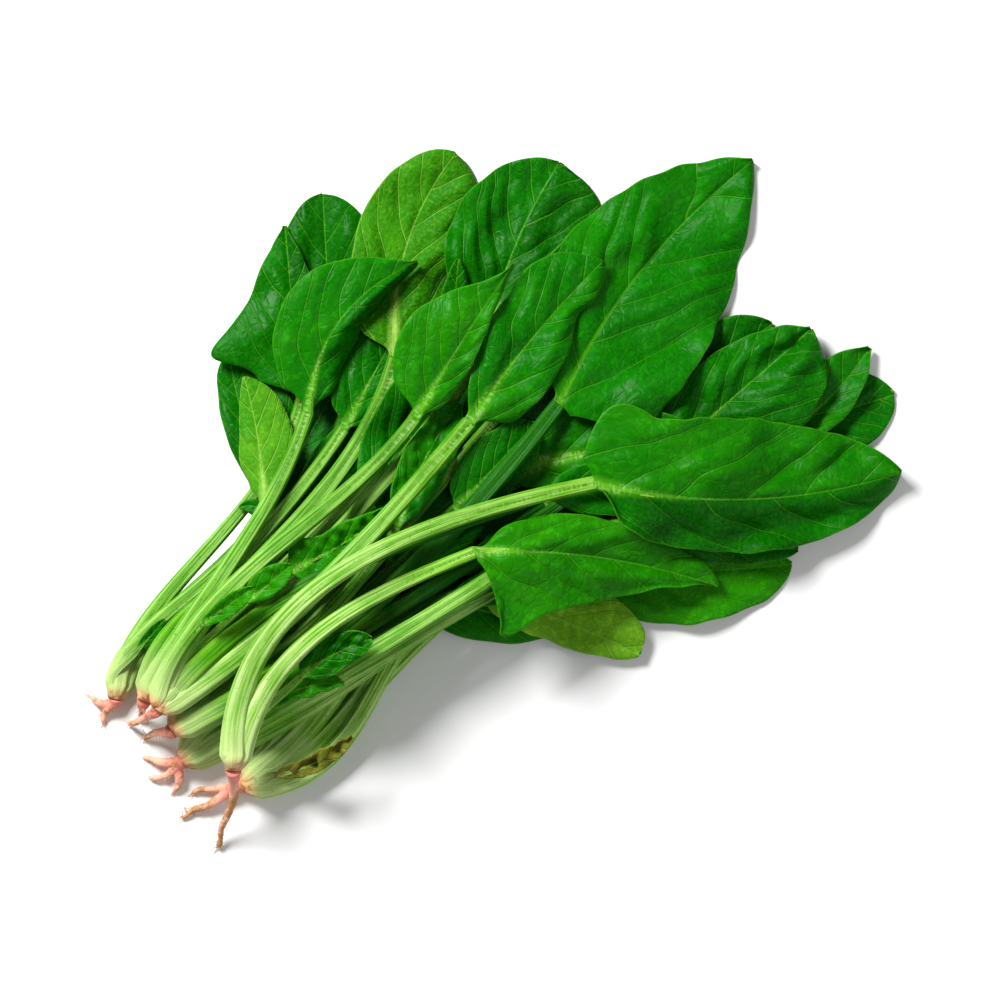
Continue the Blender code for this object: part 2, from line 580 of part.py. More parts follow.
def leaf_floor(leaf, others, full_floor, ground):
    """Least heights of a leaf's middle line: stations down its stalk, then its midrib.

    Near its crown a stalk only has to clear the other plants.
    """
    t, places, travel, length = ring_places(stalk_points(leaf), STEP)
    run = t * length
    blend = np.clip((run - FUSED[0]) / (FUSED[1] - FUSED[0]), 0, 1)
    width = stalk_half_width(leaf, t)
    lows = []
    for e in (-1, -0.6, 0, 0.6, 1):
        spots = places + left_of(travel) * (e * width)[:, None]
        free = ground.read(others, spots)
        full = ground.read(full_floor, spots)
        lows.append(free + blend * (full - free) + width * STALK_DEPTH * math.sqrt(1 - e * e) + SLACK)
    stalk = np.max(lows, axis=0)

    u = ring_places(midrib_points(leaf), STEP)[0]
    lows = []
    for e in np.linspace(-1, 1, 9):
        s = np.full(len(u), e)
        spots = blade_plan(leaf, u, s)
        depth = BLADE_THICK + (rib_depth(leaf, u) - BLADE_THICK) * (e == 0)
        reach = FLEX * half_width(leaf, u, s) * abs(e)
        top = rib_depth(leaf, u) / 2 + blade_form(leaf, u, s)
        lows.append(ground.read(full_floor, spots) + depth - top - reach + SLACK)
    return t, u, np.concatenate([stalk, np.max(lows, axis=0)[1:]])


def lay_leaf(leaf, rank, start, ground, others, material):
    """Lay one leaf on the pile; returns its stalk, still to be joined to its crown."""
    full_floor = ground.floor(LEAF_GAP)
    t, u, floor = leaf_floor(leaf, others, full_floor, ground)
    floor[:2] = start
    line = sag(floor, start)

    # The stalk's rings and the blade's grid are lifted together, so that they still meet.
    ring_t, places, travel, length = ring_places(stalk_points(leaf), STALK_PITCH)
    width = stalk_half_width(leaf, ring_t)
    tube = Tube(places, travel, width, width * STALK_DEPTH, STALK_SIDES)
    middles = np.interp(ring_t, t, line[:len(t)])
    rows, columns = blade_grid(leaf)
    mesh, index, triangles = grid_mesh(len(rows) - 1, len(columns) - 1)
    bt = rows[index[:, 0]]
    bs = columns[index[:, 1]]
    plan = blade_plan(leaf, bt, bs)
    top = np.interp(bt, u, line[len(t) - 1:]) + rib_depth(leaf, bt) / 2 + blade_form(leaf, bt, bs)

    groups = index[:, 0] * len(columns) + index[:, 1] + tube.rings
    groups[index[:, 0] == 0] = tube.rings - 1
    blade_cover = ground.cover(plan, triangles)
    tube_cover = ground.cover(tube.plan, tube.triangles)
    near = (ring_t * length < FUSED[1])[tube.index[:, 0]]
    within = [item for item in tube_cover if near[item[0]].any()]
    beyond = [item for item in tube_cover if not near[item[0]].any()]
    for _ in range(3):
        thick = blade_thickness(leaf, plan, top, bt, bs, triangles)
        lifts = [clear(blade_cover, groups, top - thick, full_floor)]
        lifts.append(clear(beyond, tube.index[:, 0], tube.heights(middles), full_floor))
        lifts.append(clear(within, tube.index[:, 0], tube.heights(middles), others))
        rise = np.zeros(groups.max() + 1)
        for lift in lifts:
            rise[:len(lift)] = np.maximum(rise[:len(lift)], lift)
        middles = middles + rise[:tube.rings] * (ring_t > 0)
        top = top + rise[groups]
    bottom = top - blade_thickness(leaf, plan, top, bt, bs, triangles)
    bottom = np.where((bottom < PRESS) & (ground.read(full_floor, plan) == 0), 0, bottom)
    ground.add(blade_cover, top)
    ground.add(tube_cover, tube.heights(middles))

    points = metres(np.column_stack([plan, top]))
    for vertex, point in zip(mesh.verts, points):
        vertex.co = point
    lower = bmesh.ops.extrude_face_region(mesh, geom=mesh.faces[:])["geom"]
    for vertex in [item for item in lower if isinstance(item, bmesh.types.BMVert)]:
        nearest = np.argmin(np.abs(points - np.array(vertex.co)).sum(axis=1))
        vertex.co.z = bottom[nearest] * MM
    name = f"plant_{leaf.plant}_leaf_{rank}"
    finish(mesh, name, own_material(name, leaf.kind))
    return tube.build(middles, f"stalk_{rank}", material)


def blade_thickness(leaf, plan, top, t, s, triangles):
    """Upright thickness at each point, more where the blade is steep, most at the rib."""
    a, b, c = (np.column_stack([plan, top])[triangles[:, k]] for k in range(3))
    normals = np.cross(b - a, c - a)
    total = np.zeros((len(plan), 3))
    for k in range(3):
        np.add.at(total, triangles[:, k], normals)
    level = np.abs(total[:, 2]) / np.linalg.norm(total, axis=1)
    rib = np.where(s == 0, rib_depth(leaf, t) - BLADE_THICK, 0)
    rib = np.where(t == 0, rib_depth(leaf, t) - BLADE_THICK, rib)
    return BLADE_THICK / np.maximum(level, 0.45) + rib


def build_plant(number, plant, leaves, ground):
    """Lay a plant's root and crown, then its leaves, and join the stalks to the crown."""
    name = f"plant_{number}_stalks"
    material = own_material(name, "stalks")
    crown_height = crown_rest(plant, ground)
    build_root(number, plant, crown_height, ground)
    others = ground.floor(LEAF_GAP)
    crown = crown_tube(plant)
    cover = ground.cover(crown.plan, crown.triangles)
    middles = np.full(crown.rings, crown_height)
    pieces = [crown.build(middles, "crown", material)]
    for rank, leaf in enumerate(leaves):
        share = rank / (len(leaves) - 1)
        start = crown_height + (share - 0.5) * plant.girth * STACK
        pieces.append(lay_leaf(leaf, rank + 1, start, ground, others, material))
    ground.add(cover, crown.heights(middles))
    fuse(pieces, name)


def main():
    for thing in list(bpy.data.objects):
        bpy.data.objects.remove(thing, do_unlink=True)
    ground = HeightMap(MAP_LOW, MAP_HIGH)
    for number, plant in PLANTS.items():
        leaves = [leaf for leaf in LEAVES if leaf.plant == number]
        build_plant(number, plant, leaves, ground)


main()
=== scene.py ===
"""A bunch of spinach, seven young plants pulled with their roots, lying on a pale table.

The solids of the frame say where every root, stalk and blade lies.  Each one is replaced
here by a finer piece on the same plan, whose heights are read off the solid and then
settled on to the pieces below it, in the order in which the leaves were laid.
Plans and heights are in millimetres, and the meshes in metres.
"""
import math
from collections import namedtuple

import bmesh
import bpy
import numpy as np
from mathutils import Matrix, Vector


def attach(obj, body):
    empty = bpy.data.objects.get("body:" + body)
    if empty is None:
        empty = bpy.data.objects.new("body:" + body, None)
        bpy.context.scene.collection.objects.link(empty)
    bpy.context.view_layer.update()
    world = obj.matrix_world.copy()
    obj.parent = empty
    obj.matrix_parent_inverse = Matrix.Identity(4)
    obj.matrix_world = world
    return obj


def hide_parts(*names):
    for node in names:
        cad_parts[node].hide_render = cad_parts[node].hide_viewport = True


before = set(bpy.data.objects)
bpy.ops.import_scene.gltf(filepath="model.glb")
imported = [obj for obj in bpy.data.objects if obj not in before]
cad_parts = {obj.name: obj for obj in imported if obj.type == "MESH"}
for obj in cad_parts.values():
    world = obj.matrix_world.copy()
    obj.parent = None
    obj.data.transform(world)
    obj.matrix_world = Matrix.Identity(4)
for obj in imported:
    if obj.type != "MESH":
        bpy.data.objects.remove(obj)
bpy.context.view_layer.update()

# ------------------------------------------------------------------------------ roots
# Every plant has a salmon-pink tap root with up to two side roots and some root hairs,
# pulled from the soil and roughly washed, so that brown soil still clings to them.
# They grow out of the back of the crown, and each root is one piece.

MM = 0.001
SHIFT = (1.3, -8.3)         # the plan below is set off from the origin by this much
CROWN_STATIONS = (-6.0, -2.0, 3.0, 9.0, 15.0)    # along a crown, from its root forward
JOIN_GAP = 0.3
COLLAR = 3.2                # radius of a crown and its root where they meet
TAP_ROOT = (2.6, 1.1)       # a tap root's radius below its collar and at its end
FORK_ROOT = (2.6, 0.8)      # the same for a side root
ROOT_PITCH = 4.5            # spacing of the rings of the solid roots
ROOT_SIDES = 20
HAIR_RADIUS = (0.20, 0.06)

Plant = namedtuple("Plant", "crown heading sweep girth root forks")
PLANTS = {
    7: Plant((-147, -37), -12, 1.2, 6.0, [(-160, -31), (-172, -24)], [(0.35, (-182, -29))]),
    5: Plant((-160, -12), -8, 1.0, 7.0, [(-171, -13), (-182, -9)],
             [(0.2, (-178, 1)), (0.3, (-178, -20))]),
    1: Plant((-166, 31), 40, 0.8, 5.5, [(-174, 28), (-182, 22)], [(0.4, (-179, 35))]),
    2: Plant((-156, 22), 32, 1.0, 5.0, [(-162, 19), (-169, 13)], []),
    4: Plant((-154, 1), -2, 1.0, 6.5, [(-163, 6), (-173, 6)], []),
    3: Plant((-153, 13), 10, 1.0, 5.5, [(-164, 13), (-174, 15)], []),
    6: Plant((-147, -23), 50, 1.1, 6.5, [(-160, -40), (-179, -48)], []),
}


def direction(degrees):
    """Unit vector at an angle from +X."""
    return np.array([math.cos(math.radians(degrees)), math.sin(math.radians(degrees))])


def unit(vectors):
    """Vectors at length 1."""
    return vectors / np.maximum(np.linalg.norm(vectors, axis=-1, keepdims=True), 1e-9)


def left_of(vectors):
    """The unit normals on the left of plan vectors."""
    return unit(np.stack([-vectors[..., 1], vectors[..., 0]], axis=-1))


def bezier(points, t):
    """Places and directions on a quadratic or cubic Bezier curve."""
    points = np.array(points, dtype=float)
    t = np.atleast_1d(t)[:, None]
    order = len(points) - 1
    weight = [math.comb(order, k) * t**k * (1 - t) ** (order - k) for k in range(order + 1)]
    slope = [math.comb(order - 1, k) * t**k * (1 - t) ** (order - 1 - k) for k in range(order)]
    place = sum(w * p for w, p in zip(weight, points))
    travel = sum(w * p for w, p in zip(slope, np.diff(points, axis=0))) * order
    return place, travel


def ring_places(points, spacing):
    """Evenly spaced parameters, places, directions and runs along a curve."""
    fine, _ = bezier(points, np.linspace(0, 1, 200))
    run = np.concatenate([[0], np.cumsum(np.linalg.norm(np.diff(fine, axis=0), axis=1))])
    count = max(3, int(round(run[-1] / spacing)) + 1)
    along = np.linspace(0, run[-1], count)
    t = np.interp(along, run, np.linspace(0, 1, 200))
    places, travel = bezier(points, t)
    return t, places, travel, along


def solid_points(node):
    """Corners of a solid of the frame, in the plan's millimetres."""
    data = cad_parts[node].data
    corners = np.empty(len(data.vertices) * 3, dtype=np.float32)
    data.vertices.foreach_get("co", corners)
    return corners.reshape(-1, 3).astype(float) / MM - [SHIFT[0], SHIFT[1], 0]


def solid_heights(corners, places, near=0.06):
    """Height of the topmost corner of a solid at each plan place, or NaN where it has none."""
    found = np.full(len(places), np.nan)
    for k, place in enumerate(places):
        close = np.hypot(*(corners[:, :2] - place).T) < near
        if close.any():
            found[k] = corners[close, 2].max()
    return found


def ring_middles(corners, places, travel, half_widths):
    """Heights of a solid tube's middle line, read from the corners at its sides."""
    side = left_of(travel) * half_widths[:, None]
    both = np.stack([solid_heights(corners, places + side), solid_heights(corners, places - side)])
    known = np.where(np.isnan(both), -1e9, both).max(axis=0)
    return np.where(known < -1e8, np.nan, known)


def fill_in(values, along):
    """Values with the unknown ones read from their neighbours."""
    known = ~np.isnan(values)
    return np.interp(along, along[known], values[known])


def spline(knots, values, at):
    """A smooth curve through the values at the knots, read at other places."""
    knots, at = np.asarray(knots, dtype=float), np.asarray(at, dtype=float)
    values = np.asarray(values, dtype=float)
    tail = (1,) * (values.ndim - 1)
    gap = np.diff(knots).reshape(-1, *tail)
    secant = np.diff(values, axis=0) / gap
    inner = (secant[:-1] * gap[1:] + secant[1:] * gap[:-1]) / (gap[1:] + gap[:-1])
    slope = np.concatenate([secant[:1], inner, secant[-1:]])
    k = np.clip(np.searchsorted(knots, at, side="right") - 1, 0, len(knots) - 2)
    h = gap[k]
    u = ((at - knots[k]) / np.diff(knots)[k]).reshape(-1, *tail)
    u = np.clip(u, 0, 1)
    return ((1 + 2 * u) * (1 - u) ** 2 * values[k] + u * (1 - u) ** 2 * h * slope[k]
            + u**2 * (3 - 2 * u) * values[k + 1] + u**2 * (u - 1) * h * slope[k + 1])


class Pile:
    """Height of the top of everything laid so far, over a grid of one-millimetre cells."""

    low = np.array([-215.0, -150.0])
    gap = 0.9                       # left between one leaf and the next

    def __init__(self):
        self.top = np.zeros((431, 321))

    def add(self, places, heights):
        """Raise the pile to points on the top of a new piece."""
        cells = np.rint(places - self.low).astype(int)
        np.maximum.at(self.top, (cells[:, 0], cells[:, 1]), heights)

    def floor(self):
        """Lowest height for the next piece over each cell."""
        rows, columns = self.top.shape
        spread = np.pad(self.top, 1)
        highest = np.max([spread[i:i + rows, j:j + columns] for i in range(3) for j in range(3)], axis=0)
        return np.where(highest > 0, highest + self.gap, 0)

    def read(self, field, places):
        """A field between its cells, at plan places."""
        spot = np.clip(places - self.low, 0, np.array(field.shape) - 1.001)
        cell = spot.astype(int)
        part = spot - cell
        i, j = cell[..., 0], cell[..., 1]
        a, b = part[..., 0], part[..., 1]
        return (field[i, j] * (1 - a) * (1 - b) + field[i + 1, j] * a * (1 - b)
                + field[i, j + 1] * (1 - a) * b + field[i + 1, j + 1] * a * b)


pile = Pile()


def soften(values, spread, axis):
    """Values averaged with their neighbours along one axis."""
    reach = int(math.ceil(spread * 3))
    weights = np.exp(-0.5 * (np.arange(-reach, reach + 1) / spread) ** 2)
    weights /= weights.sum()
    pad = [(0, 0)] * values.ndim
    pad[axis] = (reach, reach)
    wide = np.pad(values, pad, mode="edge")
    count = values.shape[axis]
    return sum(w * np.take(wide, range(k, k + count), axis=axis) for k, w in enumerate(weights))


def largest_near(values, reach, axis):
    """The largest value within a reach along one axis."""
    pad = [(0, 0)] * values.ndim
    pad[axis] = (reach, reach)
    wide = np.pad(values, pad, mode="edge")
    count = values.shape[axis]
    return np.max([np.take(wide, range(k, k + count), axis=axis) for k in range(2 * reach + 1)], axis=0)


def ripples(x, y, size, seed, count=7):
    """A smooth random field between about -1 and 1, its hills about size apart."""
    draw = np.random.default_rng(seed)
    total = np.zeros(np.broadcast(x, y).shape)
    for _ in range(count):
        angle, phase, stretch = draw.uniform(0, 2 * math.pi, 2).tolist() + [draw.uniform(0.7, 1.4)]
        across = x * math.cos(angle) + y * math.sin(angle)
        total += np.cos(2 * math.pi * across * stretch / size + phase)
    return total / math.sqrt(count) * 0.8


def metres(points):
    """Plan millimetres as scene coordinates."""
    return (np.asarray(points) + [SHIFT[0], SHIFT[1], 0]) * MM


def sweep_tube(mesh, rings, along, tone=0.0, ripe=None):
    """Add a closed tube to a bmesh, through rings of points, with its own UV maps.

    One runs once round the tube in U and counts centimetres along it in V.  The other
    holds the tube's tone, and how far each ring is on the way from crown to blade.
    """
    ripe = np.zeros(len(rings)) if ripe is None else ripe
    count, sides = rings.shape[:2]
    piece = bmesh.new()
    run = piece.loops.layers.uv.new("run")
    shade = piece.loops.layers.uv.new("shade")
    bmesh.ops.create_grid(piece, x_segments=count - 1, y_segments=sides, size=0.5)
    for face in piece.faces:
        for loop in face.loops:
            row = round((loop.vert.co.x + 0.5) * (count - 1))
            column = round((loop.vert.co.y + 0.5) * sides)
            loop[run].uv = (column / sides, along[row] / 10)
            loop[shade].uv = (tone, ripe[row])
    places = metres(rings)
    for vertex in piece.verts:
        row = round((vertex.co.x + 0.5) * (count - 1))
        column = round((vertex.co.y + 0.5) * sides)
        vertex.co = places[row, column % sides]
    bmesh.ops.remove_doubles(piece, verts=piece.verts[:], dist=1e-7)
    rim = [edge for edge in piece.edges if edge.is_boundary]
    caps = bmesh.ops.holes_fill(piece, edges=rim, sides=sides)["faces"]
    for face in caps:
        for loop in face.loops:
            corner = np.array(loop.vert.co)
            far = np.linalg.norm(corner - places[-1, 0]) < np.linalg.norm(corner - places[0, 0])
            loop[run].uv = (0.25, along[-1 if far else 0] / 10)
            loop[shade].uv = (tone, ripe[-1 if far else 0])
    bmesh.ops.recalc_face_normals(piece, faces=piece.faces[:])
    part = bpy.data.meshes.new("part")
    piece.to_mesh(part)
    piece.free()
    mesh.from_mesh(part)
    bpy.data.meshes.remove(part)


def place_piece(mesh, name, materials, slot, *nodes):
    """Turn a bmesh into a smooth piece that rides on the bunch and stands for solids."""
    data = bpy.data.meshes.new(name)
    mesh.to_mesh(data)
    mesh.free()
    data.shade_smooth()
    for material in materials:
        data.materials.append(material)
    piece = bpy.data.objects.new(name, data)
    bpy.context.scene.collection.objects.link(piece)
    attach(piece, "root")
    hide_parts(*nodes)
    return piece


def tube_frame(centre, travel):
    """Sideways and upward unit vectors across a tube's middle line."""
    side = np.column_stack([left_of(travel), np.zeros(len(centre))])
    forward = unit(np.gradient(centre, axis=0))
    return side, unit(np.cross(forward, side))


def round_rings(centre, travel, radius, rough, seed):
    """Rings of a knobbly root round its middle line."""
    side, up = tube_frame(centre, travel)
    turn = np.linspace(0, 2 * math.pi, ROOT_SIDES, endpoint=False)
    along = np.arange(len(centre))[:, None] * 0.9
    knob = 1 + rough * ripples(along, 2.5 * np.sin(turn), 5.0, seed) * np.ones_like(turn)
    reach = radius[:, None] * knob
    return (centre[:, None] + side[:, None] * (reach * np.cos(turn))[..., None]
            + up[:, None] * (reach * np.sin(turn))[..., None])


class Nodes:
    """Builds a material's node tree, one node to a call."""

    def __init__(self, name):
        self.material = bpy.data.materials.new(name)
        self.material.use_nodes = True
        self.tree = self.material.node_tree
        self.shader = self.tree.nodes["Principled BSDF"]

    def add(self, kind, inputs=(), **settings):
        """Add a node; inputs are sockets or values, by name or number."""
        node = self.tree.nodes.new(kind)
        for key, value in settings.items():
            setattr(node, key, value)
        for key, value in dict(inputs).items():
            self.link(value, node.inputs[key])
        return node

    def link(self, value, socket):
        """Wire an output to a socket, or set the socket's value."""
        if isinstance(value, bpy.types.NodeSocket):
            self.tree.links.new(value, socket)
        else:
            socket.default_value = value

    def math(self, operation, *values):
        """The result of a Math node."""
        return self.add("ShaderNodeMath", enumerate(values), operation=operation).outputs[0]

    def plus(self, first, second):
        """The sum of two values."""
        return self.math("ADD", first, second)

    def times(self, first, second):
        """The product of two values."""
        return self.math("MULTIPLY", first, second)

    def stretched(self, vector, scale):
        """A vector scaled along each of its axes."""
        return self.add("ShaderNodeMapping", {"Vector": vector, "Scale": scale}).outputs[0]

    def rise(self, value, start, end):
        """0 where a value is below start, rising evenly to 1 at end."""
        steps = {"Value": value, "From Min": start, "From Max": end}
        return self.add("ShaderNodeMapRange", steps).outputs[0]

    def fade(self, value, start, end):
        """1 where a value is below start, falling smoothly to 0 at end."""
        steps = {"Value": value, "From Min": start, "From Max": end, "To Min": 1.0, "To Max": 0.0}
        return self.add("ShaderNodeMapRange", steps, interpolation_type="SMOOTHSTEP").outputs[0]

    def noise(self, place, scale, detail=2.0, rough=0.5):
        """A noise texture's value."""
        inputs = {"Vector": place, "Scale": scale, "Detail": detail, "Roughness": rough}
        return self.add("ShaderNodeTexNoise", inputs).outputs["Fac"]

    def mix(self, factor, first, second):
        """Two colours mixed."""
        node = self.add("ShaderNodeMix", {0: factor}, data_type="RGBA")
        for socket, colour in ((node.inputs[6], first), (node.inputs[7], second)):
            self.link(colour if isinstance(colour, bpy.types.NodeSocket) else (*colour, 1), socket)
        return node.outputs[2]

    def ramp(self, factor, *stops):
        """A colour ramp through (place, colour) stops."""
        node = self.add("ShaderNodeValToRGB", {0: factor})
        band = node.color_ramp
        while len(band.elements) < len(stops):
            band.elements.new(0.5)
        for element, (spot, colour) in zip(band.elements, stops):
            element.position = spot
            element.color = (*colour, 1)
        return node.outputs[0]

    def uv(self, name):
        """The two numbers of a UV map, and the map itself."""
        vector = self.add("ShaderNodeUVMap", uv_map=name).outputs[0]
        parts = self.add("ShaderNodeSeparateXYZ", {0: vector})
        return parts.outputs[0], parts.outputs[1], vector

    def object_place(self):
        """Object coordinates."""
        return self.add("ShaderNodeTexCoord").outputs["Object"]

    def finish(self, colour, roughness, height=None, depth=0.0003, strength=0.5, **uniform):
        """Wire the shader up and return the material."""
        self.link(colour, self.shader.inputs["Base Color"])
        self.link(roughness, self.shader.inputs["Roughness"])
        for key, value in uniform.items():
            self.shader.inputs[key.replace("_", " ")].default_value = value
        if height is not None:
            inputs = {"Height": height, "Distance": depth, "Strength": strength}
            self.link(self.add("ShaderNodeBump", inputs).outputs[0], self.shader.inputs["Normal"])
        return self.material


def root_material():
    """Salmon root skin, a little redder below the crown, with tan soil and pale scars on it."""
    make = Nodes("root_skin")
    place = make.object_place()
    _, along, run = make.uv("run")
    pink = make.mix(make.noise(place, 110, 3), (0.78, 0.31, 0.20), (0.93, 0.56, 0.40))
    red = make.mix(make.fade(along, 0.0, 1.0), pink, (0.72, 0.22, 0.17))
    wave = make.stretched(run, (1.0, 9.0, 1.0))
    scar = make.fade(make.noise(wave, 1.5, 3, 0.6), 0.30, 0.42)
    scarred = make.mix(make.times(scar, 0.6), red, (0.86, 0.62, 0.44))
    wash = make.plus(make.noise(place, 130, 4, 0.7), make.times(along, 0.045))
    soil = make.rise(wash, 0.54, 0.64)
    brown = make.mix(make.noise(place, 500, 2), (0.22, 0.085, 0.016), (0.62, 0.33, 0.10))
    colour = make.mix(make.times(soil, 0.85), scarred, brown)
    bump = make.plus(make.noise(place, 700, 3), make.times(soil, 0.8))
    rough = make.plus(make.times(soil, 0.35), 0.5)
    return make.finish(colour, rough, bump, 0.0006, 0.8, Specular_IOR_Level=0.25)


root_skin = root_material()
crown_heights = {}


def add_hair(mesh, start, heading, length, radius, draw, along):
    """A thin root hair that leaves a root and wanders off."""
    steps = 7
    turn = np.cumsum(draw.normal(0, 0.3, steps))
    yaw = math.atan2(heading[1], heading[0]) + turn
    lean = np.clip(heading[2] + np.cumsum(draw.normal(-0.05, 0.15, steps)), -0.9, 0.9)
    step = length / steps
    move = np.column_stack([np.cos(yaw), np.sin(yaw), lean]) * step
    centre = np.vstack([start, start + np.cumsum(move, axis=0)])
    centre[:, 2] = np.maximum(centre[:, 2], radius[0] + 0.05)
    travel = np.gradient(centre[:, :2], axis=0)
    side, up = tube_frame(centre, travel)
    angle = np.linspace(0, 2 * math.pi, 5, endpoint=False)
    reach = np.linspace(*radius, len(centre))[:, None]
    rings = (centre[:, None] + side[:, None] * (reach * np.cos(angle))[..., None]
             + up[:, None] * (reach * np.sin(angle))[..., None])
    sweep_tube(mesh, rings, along + np.linspace(0, length, len(centre)))


def root_tube(corners, points, radius):
    """Fine middle line of a root on its plan, with heights read off its solid."""
    t, places, travel, along = ring_places(points, ROOT_PITCH)
    middles = fill_in(ring_middles(corners, places, travel, radius(t)), along)
    fine_t, fine_places, fine_travel, fine_along = ring_places(points, 0.7)
    height = spline(along, middles, fine_along)
    return fine_t, np.column_stack([fine_places, height]), fine_travel, fine_along


def root_radius(ends, t):
    """A root's radius, from where it leaves to its end."""
    return ends[1] + (ends[0] - ends[1]) * (1 - t)


def tap_radius(t):
    """A tap root's radius, with its collar."""
    return root_radius(TAP_ROOT, t) + (COLLAR - TAP_ROOT[0]) * (1 - t) ** 4


def fork_radius(t):
    """A side root's radius."""
    return root_radius(FORK_ROOT, t)


def build_root(number, plant):
    """The tap root with its side roots and hairs."""
    node = f"plant_{number}_root"
    corners = solid_points(node)
    out = direction(plant.heading)
    neck = np.array(plant.crown) + out * (CROWN_STATIONS[0] - JOIN_GAP)
    draw = np.random.default_rng(number)

    mesh = bmesh.new()
    points = [neck, neck - out * ROOT_PITCH, *plant.root]
    t, centre, travel, along = root_tube(corners, points, tap_radius)
    crown_heights[number] = centre[0, 2]
    lines = [(centre, travel, tap_radius(t), along)]
    for share, end in plant.forks:
        coarse_t, coarse_places, _, _ = ring_places(points, ROOT_PITCH)
        first = np.interp(share, coarse_t, np.arange(len(coarse_t)))
        start = [np.interp(first, np.arange(len(coarse_t)), coarse_places[:, k]) for k in (0, 1)]
        end = np.array(end, dtype=float)
        bend = (start + end) / 2 + left_of(end - start) * 2.0
        u, middle, way, run = root_tube(corners, [start, bend, end], fork_radius)
        lines.append((middle, way, fork_radius(u), run))
    for k, (middle, way, radius, run) in enumerate(lines):
        radius = radius * np.clip((run[-1] - run) / 1.5, 0.15, 1) ** 0.5
        wander = 0.9 * np.clip(run / 12, 0, 1) * ripples(run, k * 20, 14, number)
        middle = middle + np.column_stack([left_of(way) * wander[:, None], np.zeros(len(run))])
        sweep_tube(mesh, round_rings(middle, way, radius, 0.13, number * 10 + k), run)
        pile.add(middle[:, :2], middle[:, 2] + radius)
        for _ in range(int(run[-1] * 1.1)):
            row = int(draw.integers(len(middle) // 4, len(middle)))
            angle = draw.uniform(0, 2 * math.pi)
            side = left_of(way[row]) * math.cos(angle)
            heading = np.array([*(side + 0.6 * unit(way[row])), math.sin(angle) * 0.5])
            add_hair(mesh, middle[row] + heading * radius[row] * 0.4, heading,
                     draw.uniform(1.0, 3.6), HAIR_RADIUS, draw, run[row] + 12)
    return place_piece(mesh, node + "_skin", [root_skin], "root", node)


for number, plant in PLANTS.items():
    build_root(number, plant)

# ---------------------------------------------------------------- crowns and stalks
# Each root widens into a short pink-flushed crown that carries its leaf stalks.  A stalk
# is juicy, ribbed along its length and shallowly channelled on top.  It is widest where
# it clasps the crown, and runs on under its blade as the midrib.

JOINT_TURN = 0.13           # a blade takes its own direction over this part of its length
RIB_FADE = 0.75             # the solid midribs sink into their blades by this part
STALK_PITCH = 21.0          # spacing of the rings of the solid stalks
STALK_DEPTH = 0.62          # a stalk's height over its width
STALK_REACH = 0.36          # how far a stalk holds to its directions at both ends
CROWN_SHAPE = (0.86, 1.0, 0.8, 0.5)     # a crown's radius over its girth beyond its collar
STACK = 0.9                 # height over which a crown's stalks begin, over its girth
SPREAD = 18.0               # degrees between a crown's middle and outermost stalks
FUSED = (24.0, 48.0)        # stalks of one plant are one body up to here, apart beyond
STALK_SIDES = 32
STALK_RIBS = 8
STALK_SWELL = 1.14          # a fine stalk is this much broader than its solid
FINE_PITCH = 2.4            # spacing of a fine stalk's rings
RIB_END = 0.8               # the midrib can be felt under a blade up to here
BLADE_THICK = 0.85          # of the solid blades
STALK_TONES = {7: 0.95, 5: 0.6, 1: 0.4, 2: 0.3, 3: 0.4, 4: 0.4, 6: 0.95}    # 1 is palest
# Painted shade: how much darker one stalk is painted than its plant's others, where it lies in the shadow
# of the leaves over it.
STALK_PAINTED_SHADE = {
    (4, 6): 1.4, (1, 4): 0.5, (2, 1): 0.5, (3, 3): 1.3, (5, 4): 1.7, (5, 7): 1.6, (4, 5): 0.4, (5, 8): 0.3,
}

